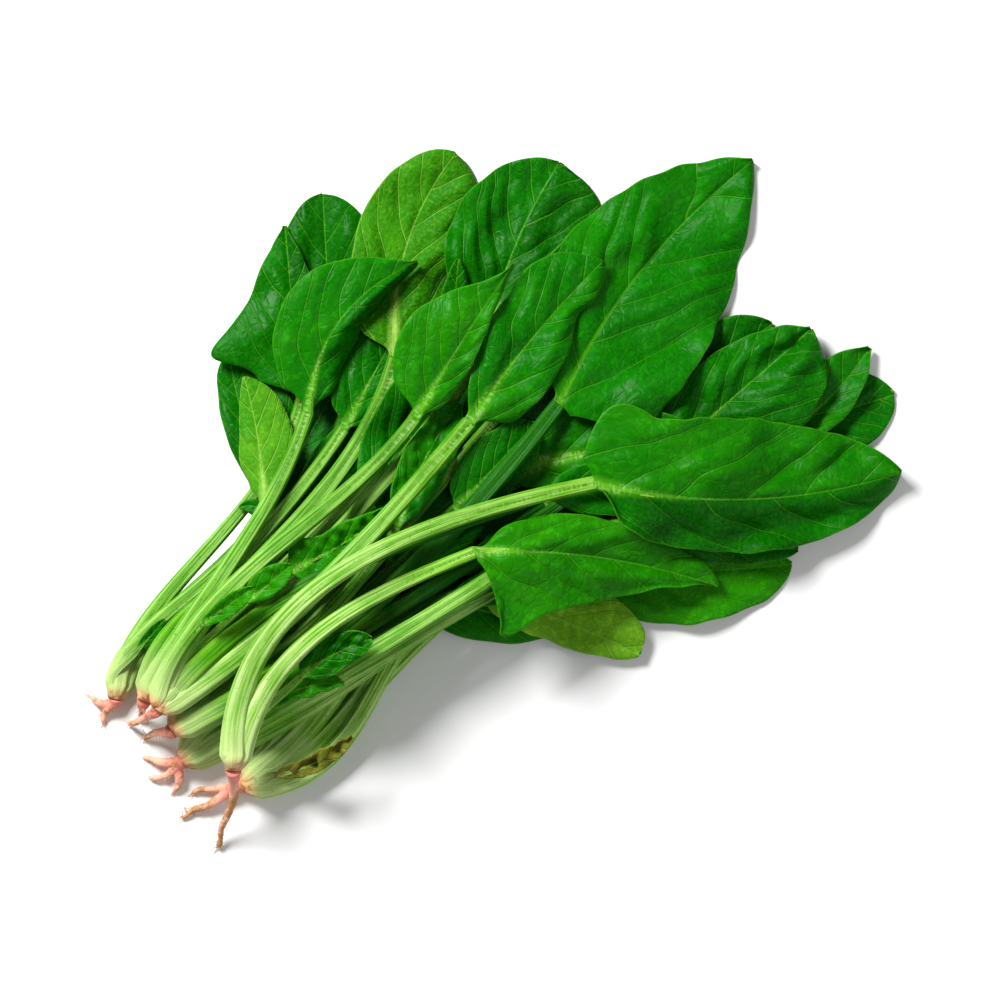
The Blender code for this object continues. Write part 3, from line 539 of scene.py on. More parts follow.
Leaf = namedtuple("Leaf", "plant side base tip bow half widest point round barb stalk kind")
NO_BARB = (0, 0, 0.1, 0.1)
LEAVES = [
    Leaf(7, 1.3, (-50, -22), (51, -85), 0.0, (18, 19),
         (0.45, 0.45), (0.6, 0.6), (0.5, 0.5), NO_BARB, 2.9, "leaf"),
    Leaf(7, 0.9, (-44, -20), (-6, -71), -0.03, (12, 13),
         (0.45, 0.4), (0.8, 0.7), (0.6, 0.5), NO_BARB, 2.6, "leaf"),
    Leaf(7, 0.1, (5, -46), (84, -113), -0.03, (15, 22),
         (0.4, 0.55), (0.6, 0.6), (0.5, 0.5), NO_BARB, 2.8, "leaf"),
    Leaf(7, -0.4, (-26, -37), (10, -101), 0.03, (17, 10),
         (0.7, 0.5), (0.35, 0.6), (0.6, 0.6), NO_BARB, 2.5, "pale"),
    Leaf(7, 0.5, (-28, -19), (16, -37), 0.0, (9, 9),
         (0.5, 0.5), (0.7, 0.7), (0.5, 0.5), NO_BARB, 3.4, "leaf"),
    Leaf(7, -1.2, (-34, -31), (23, -60), 0.0, (9, 9),
         (0.5, 0.5), (0.7, 0.7), (0.5, 0.5), NO_BARB, 2.4, "leaf"),
    Leaf(7, -0.8, (-140, -41), (-104, -49), -0.08, (4, 4),
         (0.4, 0.6), (0.9, 0.8), (0.7, 0.7), NO_BARB, 1.4, "dry"),

    Leaf(5, 0.2, (-16, -10), (81, -21), 0.0, (27, 22),
         (0.45, 0.45), (0.7, 0.7), (0.5, 0.5), NO_BARB, 2.3, "leaf"),
    Leaf(5, -0.9, (-98, -10), (-24, -18), 0.0, (11, 12),
         (0.5, 0.5), (0.6, 0.6), (0.5, 0.5), NO_BARB, 2.0, "leaf"),
    Leaf(5, 0.5, (-48, -6), (21, 3), 0.0, (15, 18),
         (0.5, 0.5), (0.6, 0.6), (0.5, 0.5), NO_BARB, 2.0, "leaf"),
    Leaf(5, -0.6, (20, -28), (113, -54), 0.0, (20, 22),
         (0.45, 0.45), (0.7, 0.7), (0.5, 0.5), NO_BARB, 2.3, "leaf"),
    Leaf(5, -0.8, (40, -57), (90, -110), 0.02, (13, 11),
         (0.5, 0.5), (0.6, 0.6), (0.5, 0.5), NO_BARB, 2.1, "leaf"),
    Leaf(5, -0.3, (104, -65), (163, -86), 0.02, (18, 19),
         (0.5, 0.5), (0.5, 0.5), (0.5, 0.5), NO_BARB, 2.1, "leaf"),
    Leaf(5, 0.5, (70, -32), (143, -30), 0.03, (16, 19),
         (0.6, 0.5), (0.6, 0.55), (0.5, 0.5), NO_BARB, 2.2, "leaf"),
    Leaf(5, 0.1, (110, -68), (168, -64), -0.06, (15, 10),
         (0.5, 0.45), (0.8, 0.9), (0.6, 0.6), NO_BARB, 2.1, "leaf"),
    Leaf(5, -0.1, (75, -44), (154, -42), 0.0, (20, 28),
         (0.4, 0.6), (0.8, 0.5), (0.45, 0.5), NO_BARB, 2.4, "leaf"),
    Leaf(5, 0.9, (14, -4), (88, -42), 0.0, (20, 15),
         (0.4, 0.5), (0.7, 0.7), (0.9, 0.8), NO_BARB, 2.8, "leaf"),

    Leaf(1, 0.3, (-80, 31), (-6, 38), 0.0, (16, 16),
         (0.5, 0.5), (0.6, 0.6), (0.5, 0.5), NO_BARB, 2.0, "leaf"),
    Leaf(1, -0.3, (-72, 46), (5, 76), 0.0, (17, 19),
         (0.45, 0.45), (0.6, 0.6), (0.5, 0.5), NO_BARB, 2.2, "leaf"),
    Leaf(1, 0.3, (-65, 50), (-40, 109), 0.04, (9, 22),
         (0.5, 0.5), (0.6, 0.6), (0.5, 0.5), NO_BARB, 2.1, "leaf"),
    Leaf(1, -0.6, (-18, 58), (33, 134), 0.02, (20, 24),
         (0.6, 0.6), (0.5, 0.5), (0.5, 0.5), NO_BARB, 2.3, "leaf"),
    Leaf(1, -0.1, (-30, 73), (12, 134), 0.0, (20, 12),
         (0.36, 0.4), (1.0, 1.0), (0.4, 0.5), (16, 4, 0.38, 0.13), 2.1, "leaf"),
    Leaf(1, 0.5, (-72, 43), (-79, 55), -0.2, (3.5, 3.5),
         (0.5, 0.5), (0.9, 0.9), (0.9, 0.9), NO_BARB, 1.3, "leaf"),
    Leaf(1, 0.1, (-70, 49), (-42, 96), -0.03, (8, 15),
         (0.4, 0.5), (0.8, 0.7), (0.6, 0.7), NO_BARB, 2.1, "pale"),
    Leaf(1, 0.9, (-151, 36), (-133, 39), 0.0, (3, 3),
         (0.5, 0.5), (0.7, 0.7), (0.7, 0.7), NO_BARB, 1.1, "leaf"),

    Leaf(2, 0.4, (-62, 35), (-10, 48), 0.0, (12, 14),
         (0.5, 0.5), (0.5, 0.5), (0.5, 0.5), NO_BARB, 2.1, "leaf"),
    Leaf(2, -0.5, (-24, 52), (39, 77), 0.0, (16, 18),
         (0.5, 0.5), (0.6, 0.6), (0.5, 0.5), NO_BARB, 2.2, "leaf"),
    Leaf(2, -0.9, (12, 61), (87, 111), 0.1, (22, 22),
         (0.55, 0.65), (0.6, 0.35), (0.5, 0.5), NO_BARB, 2.9, "pale"),
    Leaf(2, -0.6, (-31, 67), (45, 86), 0.15, (24, 10),
         (0.45, 0.3), (1.3, 0.6), (0.85, 0.6), NO_BARB, 2.4, "leaf"),

    Leaf(4, 0.3, (-37, 11), (52, 40), 0.0, (25, 22),
         (0.45, 0.45), (0.6, 0.6), (0.5, 0.5), NO_BARB, 2.2, "leaf"),
    Leaf(4, -0.4, (28, 14), (122, 33), 0.0, (20, 20),
         (0.45, 0.45), (0.6, 0.6), (0.5, 0.5), NO_BARB, 2.3, "leaf"),
    Leaf(4, 1.0, (52, 46), (118, 80), 0.05, (29, 34),
         (0.45, 0.6), (0.65, 0.32), (0.6, 0.4), NO_BARB, 2.4, "leaf"),
    Leaf(4, -0.3, (-33, 6), (20, 29), 0.04, (9, 11),
         (0.5, 0.5), (0.6, 0.6), (0.6, 0.6), NO_BARB, 2.1, "leaf"),
    Leaf(4, -0.9, (-10, -4), (39, 2), 0.0, (13, 12),
         (0.5, 0.5), (0.5, 0.5), (0.5, 0.5), NO_BARB, 2.1, "leaf"),
    Leaf(4, -0.6, (52, 2), (181, 28), 0.06, (35, 43),
         (0.3, 0.3), (0.8, 0.8), (0.4, 0.4), (0, 9, 0.05, 0.08), 2.9, "leaf"),

    Leaf(3, 0.2, (33, 50), (59, 76), 0.0, (6, 6),
         (0.5, 0.5), (0.9, 0.9), (0.7, 0.7), NO_BARB, 1.8, "leaf"),
    Leaf(3, 0.3, (-79, 21), (-30, 14), -0.05, (8, 8),
         (0.45, 0.5), (0.9, 0.9), (0.5, 0.5), (5, 6, 0.15, 0.12), 1.7, "leaf"),
    Leaf(3, 0.0, (22, -23), (92, -66), 0.0, (13, 13),
         (0.5, 0.5), (0.6, 0.6), (0.6, 0.6), NO_BARB, 2.5, "leaf"),
    Leaf(3, -1.0, (18, 20), (105, 36), 0.025, (21, 18),
         (0.74, 0.3), (0.8, 0.6), (0.8, 0.6), (0, -6, 0.7, 0.13), 2.8, "leaf"),
    Leaf(3, 1.1, (2, 36), (75, 59), 0.01, (24, 9),
         (0.4, 0.3), (1.8, 1.7), (0.6, 0.9), NO_BARB, 2.4, "leaf"),
    Leaf(3, 0.8, (-101, 22), (-77, 22), 0.0, (7, 5),
         (0.5, 0.5), (0.6, 0.6), (0.6, 0.6), NO_BARB, 1.3, "leaf"),
    Leaf(3, 1.2, (-122, 27), (-95, 25), 0.0, (4, 4),
         (0.5, 0.5), (0.7, 0.7), (0.6, 0.6), NO_BARB, 1.4, "leaf"),

    Leaf(6, 0.2, (-123, -17), (-92, -30), 0.1, (8, 4),
         (0.45, 0.5), (0.8, 0.8), (0.6, 0.6), NO_BARB, 1.5, "leaf"),
    Leaf(6, -0.5, (-104, -16), (-71, -23), 0.05, (8, 7),
         (0.5, 0.5), (0.5, 0.5), (0.5, 0.5), NO_BARB, 1.6, "leaf"),
    Leaf(6, -0.8, (-15, -23), (54, -100), 0.05, (17, 24),
         (0.4, 0.2), (0.6, 1.5), (0.8, 0.45), (0, 12, 0.15, 0.12), 2.3, "leaf"),
    Leaf(6, 0.0, (42, -33), (144, -113), -0.07, (34, 22),
         (0.4, 0.5), (0.6, 0.7), (0.3, 0.35), (16, 0, 0.05, 0.08), 2.6, "leaf"),
]


def midrib_points(leaf):
    """Control points of a blade's midrib, an arc from its base to its tip."""
    base = np.array(leaf.base, dtype=float)
    tip = np.array(leaf.tip, dtype=float)
    chord = tip - base
    side = left_of(chord) * np.linalg.norm(chord) * 2 * leaf.bow
    return base, (base + tip) / 2 + side, tip


def stalk_start(leaf):
    """Where a stalk leaves the middle of its crown."""
    plant = PLANTS[leaf.plant]
    return np.array(plant.crown) + left_of(direction(plant.heading)) * leaf.side * plant.girth * 0.5


def joint_direction(leaf):
    """Direction in which a stalk meets its blade, between its own run and the midrib's."""
    base, middle, _ = midrib_points(leaf)
    return unit(unit(middle - base) + unit(base - stalk_start(leaf)))


def stalk_points(leaf):
    """Control points of a stalk, from inside its crown to the base of its blade."""
    plant = PLANTS[leaf.plant]
    start = stalk_start(leaf)
    end = np.array(leaf.base) - joint_direction(leaf) * JOIN_GAP
    reach = np.linalg.norm(end - start) * STALK_REACH
    out = direction(plant.heading + SPREAD * leaf.side)
    return start, start + out * reach * plant.sweep, end - joint_direction(leaf) * reach, end


def stalk_half_width(leaf, t):
    """A stalk is broad where it leaves the crown and narrows to its blade."""
    broad = min(leaf.stalk * 2.0, 4.8)
    middle = leaf.stalk * 1.35
    return leaf.stalk + (middle - leaf.stalk) * (1 - t) + (broad - middle) * (1 - t) ** 4


def rib_depth(leaf, t):
    """Thickness of a solid blade along its midrib."""
    fade = np.clip(1 - t / RIB_FADE, 0, 1) ** 1.5
    return BLADE_THICK + (2 * leaf.stalk * STALK_DEPTH - BLADE_THICK) * fade


def stalk_section(half_width, depth, channel):
    """Points round a stalk: rounded below, ribbed, and channelled on top."""
    turn = np.linspace(0, 2 * math.pi, STALK_SIDES, endpoint=False)
    ribs = 1 + 0.05 * np.cos(STALK_RIBS * turn)
    across = half_width[:, None] * np.cos(turn) * ribs
    height = depth[:, None] * np.sin(turn) * ribs
    dip = np.exp(-((np.cos(turn) / 0.5) ** 2)) * (np.sin(turn) > 0)
    return across, height * (1 - channel[:, None] * dip)


def stalk_material():
    """Pale ribs with green grooves, pink at the crown and greener towards the blade, with painted shade on
    stalks that lie under leaves.
    """
    make = Nodes("stalk_skin")
    place = make.object_place()
    around, along, run = make.uv("run")
    tone, ripe, _ = make.uv("shade")
    patchy = make.noise(place, 55, 3)

    # Fine threads run the length of a stalk.  Its channel and its flanks are greener than
    # its shoulders, and so are the grooves between its ribs.
    thread = make.stretched(run, (9.0, 0.12, 1.0))
    streak = make.noise(thread, 1.5, 3, 0.6)
    ridge = make.math("COSINE", make.times(around, 2 * math.pi * STALK_RIBS))
    off_top = make.math("ABSOLUTE", make.math("SUBTRACT", around, 0.25))
    groove = make.plus(streak, make.times(ridge, -0.055))
    groove = make.plus(groove, make.times(patchy, 0.22))
    groove = make.plus(groove, make.times(make.fade(off_top, 0.0, 0.06), 0.09))
    groove = make.math("SUBTRACT", groove, make.times(make.fade(off_top, 0.12, 0.22), 0.07))
    groove = make.rise(groove, 0.45, 0.67)
    young = make.fade(make.plus(ripe, make.times(patchy, 0.5)), 0.35, 1.35)
    rib = make.mix(young, make.mix(tone, (0.055, 0.26, 0.003), (0.27, 0.56, 0.05)),
                   make.mix(tone, (0.16, 0.45, 0.015), (0.58, 0.78, 0.29)))
    deep = make.mix(young, make.mix(tone, (0.006, 0.10, 0.0005), (0.06, 0.28, 0.002)),
                    make.mix(tone, (0.030, 0.21, 0.0012), (0.15, 0.43, 0.012)))
    colour = make.mix(groove, rib, deep)

    # Short pale dashes cross the channel near the blade, and dark specks lie anywhere.
    dash = make.stretched(run, (5.0, 9.0, 1.0))
    top = make.fade(off_top, 0.03, 0.12)
    ladder = make.fade(make.noise(dash, 1.2, 2), 0.42, 0.50)
    ladder = make.times(make.times(ladder, top), make.math("POWER", ripe, 4.0))
    colour = make.mix(make.times(ladder, 0.42), colour, (0.42, 0.62, 0.20))
    # Painted shade: a stalk with a tone below zero is mixed towards a deep shadow green, most of all away
    # from its crown.
    shaded = make.times(make.fade(tone, -0.8, 0.0), make.fade(young, 0.6, 1.0))
    colour = make.mix(make.times(shaded, 0.92), colour, (0.004, 0.10, 0.0004))
    speck = make.fade(make.noise(place, 900, 1), 0.27, 0.34)
    colour = make.mix(make.times(speck, 0.5), colour, (0.03, 0.11, 0.005))

    # At the crown a stalk is cream and then pink, with soil caught at the very end.
    flush = make.plus(along, make.times(make.noise(place, 180, 3), 0.5))
    cream = make.mix(make.times(make.fade(flush, 0.4, 3.6), 0.55), colour, (0.60, 0.67, 0.30))
    pink = make.mix(make.times(make.fade(flush, 0.2, 0.95), 0.85), cream, (0.78, 0.34, 0.20))
    edge = make.plus(make.noise(place, 330, 3), make.times(along, 0.4))
    soil = make.fade(edge, 0.46, 0.60)
    colour = make.mix(make.times(soil, 0.7), pink, (0.34, 0.15, 0.03))
    bump = make.plus(make.times(groove, -1.0), make.times(make.noise(place, 500, 2), 0.2))
    return make.finish(colour, 0.38, bump, 0.0005, 0.5, Specular_IOR_Level=0.10)


stalk_skin = stalk_material()


def crown_rings(number, plant):
    """Rings of the crown's core, from its root's collar forward into the stalks."""
    out = direction(plant.heading)
    radius = [COLLAR, *(plant.girth * share for share in CROWN_SHAPE)]
    stations = np.linspace(CROWN_STATIONS[0] - 0.6, CROWN_STATIONS[-1], 24)
    reach = spline(CROWN_STATIONS, radius, np.clip(stations, CROWN_STATIONS[0], None))
    reach *= np.interp(stations, [CROWN_STATIONS[0], 0], [0.95, 0.7])
    places = np.array(plant.crown) + stations[:, None] * out
    centre = np.column_stack([places, np.full(len(stations), crown_heights[number])])
    rings = round_rings(centre, np.tile(out, (len(stations), 1)), reach, 0.05, number + 40)
    return rings, centre, reach, stations - CROWN_STATIONS[0]


def clasp(leaf, share, start, half):
    """Rings by which a stalk runs back round its crown, from the collar up to its start."""
    plant = PLANTS[leaf.plant]
    out = direction(plant.heading)
    side = np.array([*left_of(out), 0])
    neck = np.array([*(np.array(plant.crown) + out * CROWN_STATIONS[0]), crown_heights[leaf.plant]])
    neck = neck + side * min(max(leaf.side, -1), 1) * COLLAR * 0.45 + [0, 0, (share - 0.4) * COLLAR * 0.7]
    u = np.linspace(0, 1, 5)[:-1]
    line = neck + (start - neck) * u[:, None]
    line[:, 2] += 1.2 * (share - 0.3) * np.sin(math.pi * u)
    return line, COLLAR * 0.62 + (half - COLLAR * 0.62) * u**0.8


def stalk_line(leaf, share, corners, below):
    """Middle line of a stalk, its heights read off the solid and settled on the pile."""
    points = stalk_points(leaf)
    t, places, travel, along = ring_places(points, STALK_PITCH)
    middles = ring_middles(corners, places, travel, stalk_half_width(leaf, t))
    middles[0] = crown_heights[leaf.plant] + (share - 0.5) * PLANTS[leaf.plant].girth * STACK
    middles = fill_in(middles, along)
    fine_t, fine_places, fine_travel, fine_along = ring_places(points, FINE_PITCH)
    height = spline(along, middles, fine_along)
    half = stalk_half_width(leaf, fine_t)
    now = pile.floor()
    part = np.clip((fine_along - FUSED[0]) / (FUSED[1] - FUSED[0]), 0, 1)
    need = np.zeros(len(fine_t))
    for e in (-0.9, -0.45, 0, 0.45, 0.9):
        spots = fine_places + left_of(fine_travel) * (e * half)[:, None]
        full, free = pile.read(now, spots), pile.read(below, spots)
        low = free + part * (full - free) + half * STALK_DEPTH * math.sqrt(1 - e * e)
        need = np.maximum(need, low - height)
    need = soften(largest_near(need, 4, 0), 3.0, 0) * np.clip(fine_along / 12, 0, 1)
    return fine_t, fine_places, fine_travel, fine_along, height + need, need[-1]


# -------------------------------------------------------------------------- blades
# A blade is thin, smooth and deep green, paler and duller underneath.  About five veins
# leave a long midrib on each side and sweep forward, and the skin puffs up between them.
# The blade grows along both edges of its stalk, where the midrib starts.

FLARE = 0.06                # a blade widens from its stalk over this part of its length
TIP_HALF = 0.9              # half the width of a blade's blunt tip
BARB_SWEEP = 0.3            # how far a barb points back, over its width
LARGE = 28.0                # a solid blade at least this wide has the finer grid
LARGE_GRID = ([0, 0.05, 0.14, 0.27, 0.42, 0.57, 0.72, 0.87, 1.0], [-1, -0.68, -0.34, 0, 0.34, 0.68, 1])
SMALL_GRID = ([0, 0.1, 0.3, 0.5, 0.7, 0.88, 1.0], [-1, -0.5, 0, 0.5, 1])
SKIN = 0.5                  # thickness of a blade
WEAVE = 1.0                 # spacing of a blade's fine grid

# How light a blade is, from 0 to 1, where it is not of the usual dark green.  The (7, 4)
# blade is set at the top as painted light, to lift it out of the shadow of the leaf over it.
TONES = {
    (1, 4): 0.0, (1, 5): 0.05, (1, 7): 0.4, (2, 3): 0.08, (2, 4): 0.35, (4, 4): 0.5, (4, 3): 0.1,
    (4, 6): 0.25, (3, 4): 0.3, (3, 5): 0.55, (3, 2): 0.75, (3, 6): 0.8, (3, 7): 0.8, (5, 6): 0.15,
    (5, 8): 0.4, (5, 9): 0.2, (5, 10): 0.35, (6, 1): 0.9, (6, 2): 0.0, (6, 3): 0.6, (6, 4): 0.35,
    (7, 2): 0.45, (7, 3): 0.8, (7, 4): 1.0, (7, 7): 0.5,
}
# Height by which each side's edge, left and right, is rolled up after the solid's form.
ROLLS = {(6, 4): (0, 5), (2, 4): (0, -2), (6, 3): (-2, 3), (5, 9): (0, 3)}
# Painted light and shade: how much lighter or darker a blade is painted on its left and on its right,
# after how each half of its fold faces the light or lies in shadow.
PAINTED_HALF_LIGHTS = {
    (6, 4): (0.12, -0.3), (2, 4): (0.05, -0.22), (2, 3): (0.05, -0.12), (4, 6): (0.08, -0.02),
    (6, 3): (0.12, 0.05), (3, 4): (-0.05, 0.1), (1, 5): (0.1, -0.1), (4, 3): (0.05, -0.15),
    (7, 4): (0.2, 0.3), (5, 9): (0.0, -0.12),
}
# How far along a blade its pale, dashed base has already faded where it starts.
FADED = {(4, 6): 0.3, (6, 4): 0.08, (4, 3): 0.1, (6, 3): 0.1, (5, 10): -0.3}
# How far a hidden blade spreads beyond its solid, to its left and right.
SPREADS = {(5, 2): (6, 0), (5, 3): (8, 0), (1, 1): (3, 4), (2, 1): (0, 3), (4, 1): (3, 0)}
# Blades with a broader midrib than the rest.
BROAD = {(5, 10): 1.9, (2, 4): 0.8}
# Long folds in a blade: where across it, how high, how broad and how far along they run.
FOLDS = {
    (2, 4): [(-0.45, 2.6, 0.28, 0.3, 1.0)],
    (2, 3): [(-0.5, 2.0, 0.25, 0.2, 0.9)],
    (6, 4): [(-0.03, 4.0, 0.34, 0.05, 1.0), (-0.9, 3.0, 0.2, 0.3, 0.9), (0.6, 1.6, 0.2, 0.1, 0.6)],
    (4, 6): [(-0.5, 3.0, 0.25, 0.15, 0.75), (0.45, 2.4, 0.2, 0.3, 0.8)],
    (4, 3): [(-0.1, 3.4, 0.22, 0.3, 1.0), (0.6, 2.2, 0.22, 0.1, 0.7)],
    (3, 4): [(0.45, 1.8, 0.25, 0.1, 0.8), (-0.5, 1.6, 0.22, 0.3, 0.9)],
    (5, 9): [(0.5, 2.6, 0.2, 0.3, 1.0), (-0.35, 3.0, 0.2, 0.3, 1.0)],
    (5, 10): [(0.0, 1.8, 0.25, 0.3, 1.0), (-0.55, 1.8, 0.2, 0.2, 0.9)],
    (1, 5): [(0.35, 1.8, 0.25, 0.2, 0.8)],
    (1, 4): [(-0.5, 3.0, 0.25, 0.3, 1.0), (0.4, -2.0, 0.25, 0.1, 1.0)],
    (6, 3): [(0.35, 1.6, 0.2, 0.1, 0.6), (-0.4, 1.8, 0.25, 0.3, 0.9)],
    (3, 5): [(0.4, 1.6, 0.25, 0.1, 0.8)],
}
# Blades that are crumpled all over, and how high.
CRUMPLED = {(6, 2): 1.8, (7, 7): 1.7, (6, 1): 0.9, (3, 2): 1.1, (3, 6): 0.6, (4, 4): 0.9, (3, 7): 0.6}


def barb_width(leaf, t, s):
    """Width that a barb adds to a blade."""
    _, _, where, reach = leaf.barb
    return np.where(s > 0, *leaf.barb[:2]) * np.exp(-(((t - where) / reach) ** 2)) * (t > 0)


def half_width(leaf, t, s):
    """Width of a blade from the midrib to its edge, on the side that s is on."""
    widest = np.where(s > 0, *leaf.widest)
    low = np.clip((widest - t) / widest, 0, 1)
    high = np.clip((t - widest) / (1 - widest), 0, 1)
    outline = (1 - low**2) ** np.where(s > 0, *leaf.round) * (1 - high**2) ** np.where(s > 0, *leaf.point)
    flare = 1 - np.exp(-((t / FLARE) ** 2))
    full = np.where(s > 0, *leaf.half) * outline * flare + barb_width(leaf, t, s)
    return np.hypot(np.maximum(full, 0), leaf.stalk * (1 - t) + TIP_HALF * t)


def blade_plan(leaf, t, s, wobble=0.0):
    """Plan places on a blade: t from base to tip, s from -1 at the right edge to 1."""
    place, travel = bezier(midrib_points(leaf), t)
    turn = np.clip(1 - t / JOINT_TURN, 0, 1)[:, None]
    along = unit(unit(travel) * (1 - turn) + joint_direction(leaf) * turn)
    sweep = BARB_SWEEP * barb_width(leaf, t, s) * s**2
    reach = s * (half_width(leaf, t, s) + wobble)
    return place + left_of(along) * reach[:, None] - along * sweep[:, None]


def cell_edges(x, y, size, seed):
    """Distance to the nearest boundary between random cells of about a size."""
    draw = np.random.default_rng(seed)
    jitter = draw.uniform(0.12, 0.88, (64, 64, 2))
    column, row = np.floor(x / size).astype(int), np.floor(y / size).astype(int)
    distances = []
    for i in (-1, 0, 1):
        for j in (-1, 0, 1):
            spot = jitter[(column + i) % 64, (row + j) % 64]
            distances.append(np.hypot((column + i + spot[..., 0]) * size - x,
                                      (row + j + spot[..., 1]) * size - y))
    distances = np.sort(distances, axis=0)
    return (distances[1] - distances[0]) / 2


def vein_spacing(length):
    """Distance along the midrib from one side vein to the next."""
    return max(length / 5.2, 6.5)


def vein_phase(length, full, x, y, seed):
    """Counts side veins: a whole number on each vein, x along the midrib and y off it."""
    bend = 1.1 * y + 0.8 * y**2 / full
    spacing = vein_spacing(length)
    stray = 0.2 * ripples(x - bend, 0 * y, 3.2 * spacing, seed)
    stray += 0.1 * ripples(x, y, 1.5 * spacing, seed + 1) * np.clip(y / 8, 0, 1)
    return (x - bend) / spacing + stray


def blade_material(name, greens, vein, roughness, gloss, contrast):
    """Leaf skin: patches of green, veins and a faint net edged with painted shade, a thin light rim and a
    sheen.
    """
    make = Nodes(name)
    _, _, place = make.uv("blade")
    phase, rib, _ = make.uv("vein")
    rim, tone, _ = make.uv("rim")
    t, spacing, _ = make.uv("span")
    patches = make.noise(place, 0.45, 3, 0.5)
    # The tone brings together each blade's own lightness and the painted light and shade of its halves.
    mood = make.plus(make.times(patches, 0.6), make.times(tone, 0.7))
    colour = make.ramp(mood, (0.15, greens[0]), (0.5, greens[1]), (0.95, greens[2]))
    mottle = make.noise(place, 6.0, 4, 0.7)
    colour = make.mix(make.times(make.fade(mottle, 0.66, 0.42), 0.3), colour, greens[2])
    dull = make.fade(make.noise(place, 2.2, 4, 0.65), 0.5, 0.36)
    colour = make.mix(make.times(dull, 0.35), colour, greens[0])

    # Side veins are fine light lines in faint grooves, each forked towards the edge of the
    # blade, none of them equally plain all along.  The finest veins make a faint net.  Painted
    # shade darkens the blade beside the side veins and along the net, where their grooves lie.
    fork, _, _ = make.uv("fork")
    plain = make.fade(make.noise(place, 0.8, 2), 0.35, 0.72)
    to_vein = make.times(make.math("PINGPONG", phase, 0.5), spacing)
    to_fork = make.times(make.math("PINGPONG", fork, 0.5), spacing)
    to_fork = make.plus(to_fork, make.fade(make.math("SUBTRACT", phase, fork), 0.06, 0.14))
    to_fork = make.plus(to_fork, 0.015)
    to_vein = make.math("MINIMUM", to_vein, to_fork)
    to_vein = make.plus(to_vein, make.fade(phase, -0.5, -0.2))
    stir = make.add("ShaderNodeTexNoise", {"Vector": place, "Scale": 1.3, "Detail": 2.0}).outputs["Color"]
    bent = make.add("ShaderNodeVectorMath", {0: place, 1: stir}, operation="ADD").outputs[0]
    net = make.add("ShaderNodeTexVoronoi", {"Vector": bent, "Scale": 1.7},
                   feature="DISTANCE_TO_EDGE").outputs["Distance"]
    # Painted shade: a dark green beside the vein grooves and along the net.
    shade = make.times(make.fade(to_vein, 0.04, 0.22), make.times(plain, 0.3))
    shade = make.math("MAXIMUM", shade, make.times(make.fade(net, 0.0, 0.09), 0.22))
    colour = make.mix(shade, colour, greens[0])
    colour = make.mix(make.times(make.fade(net, 0.0, 0.03), 0.2 * contrast), colour, vein)
    line = make.times(make.fade(to_vein, 0.012, 0.05), make.plus(plain, 0.35))
    colour = make.mix(make.times(line, contrast), colour, vein)

    # The midrib is broad and pale at the base, with pale dashes, and a fine line beyond.
    broad = make.fade(t, 0.03, 0.45)
    glow = make.times(make.fade(rib, 1.0, 3.2), make.times(broad, 0.5))
    colour = make.mix(glow, colour, vein)
    line = make.plus(make.times(broad, 0.45), 0.4)
    colour = make.mix(make.times(make.fade(rib, 0.5, 1.1), line), colour, vein)
    dash = make.stretched(place, (7.0, 2.0, 1.0))
    dashes = make.times(make.fade(make.noise(dash, 1.0, 2), 0.42, 0.5), broad)
    dashes = make.times(dashes, make.fade(rib, 1.0, 2.2))
    colour = make.mix(make.times(dashes, 0.45), colour, (0.30, 0.50, 0.16))
    colour = make.mix(make.times(make.fade(rim, 0.025, 0.06), 0.3), colour, vein)

    height = make.times(make.fade(net, 0.0, 0.16), -0.4)
    height = make.plus(height, make.times(make.fade(to_vein, 0.0, 0.11), -0.7))
    height = make.plus(height, make.times(make.noise(place, 3.0, 2), 0.4))
    height = make.plus(height, make.times(make.noise(place, 1.0, 1), 2.6))
    rough = make.plus(make.times(make.noise(place, 0.9, 3), 0.45), roughness)
    return make.finish(colour, rough, height, 0.0005, 0.6, Specular_IOR_Level=gloss)


blade_skins = {
    "leaf": (blade_material("blade_upper", ((0.0002, 0.058, 0.0001), (0.0022, 0.155, 0.0003),
                                            (0.028, 0.28, 0.0007)), (0.09, 0.36, 0.008), 0.16, 0.06, 0.36),
             blade_material("blade_under", ((0.02, 0.15, 0.002), (0.05, 0.23, 0.003),
                                            (0.09, 0.30, 0.006)), (0.20, 0.42, 0.03), 0.5, 0.08, 0.5)),
    "dry": (blade_material("withered_upper", ((0.03, 0.02, 0.003), (0.11, 0.10, 0.008),
                                              (0.18, 0.30, 0.01)), (0.32, 0.22, 0.05), 0.6, 0.15, 0.6),
            blade_material("withered_under", ((0.06, 0.04, 0.008), (0.16, 0.12, 0.02),
                                              (0.24, 0.20, 0.04)), (0.32, 0.22, 0.08), 0.65, 0.15, 0.6)),
}
blade_skins["pale"] = (
    blade_material("blade_pale_upper", ((0.006, 0.12, 0.0004), (0.03, 0.215, 0.0008),
                                        (0.20, 0.48, 0.018)), (0.28, 0.50, 0.06), 0.35, 0.05, 0.4),
    blade_skins["leaf"][1],
)
BLADE_SLOTS = {"leaf": "leaf_blade", "pale": "leaf_underside", "dry": "withered_leaf"}


def solid_surface(leaf, name, t, s):
    """Heights of a solid blade's top, between its corners."""
    knots_t, knots_s = LARGE_GRID if sum(leaf.half) > LARGE else SMALL_GRID
    grid_t, grid_s = np.meshgrid(knots_t, knots_s, indexing="ij")
    known = solid_heights(solid_points(name), blade_plan(leaf, grid_t.ravel(), grid_s.ravel()))
    known[np.isnan(known)] = np.nanmean(known)
    height = spline(knots_t, known.reshape(grid_t.shape), t)
    return spline(knots_s, height.T, s).T


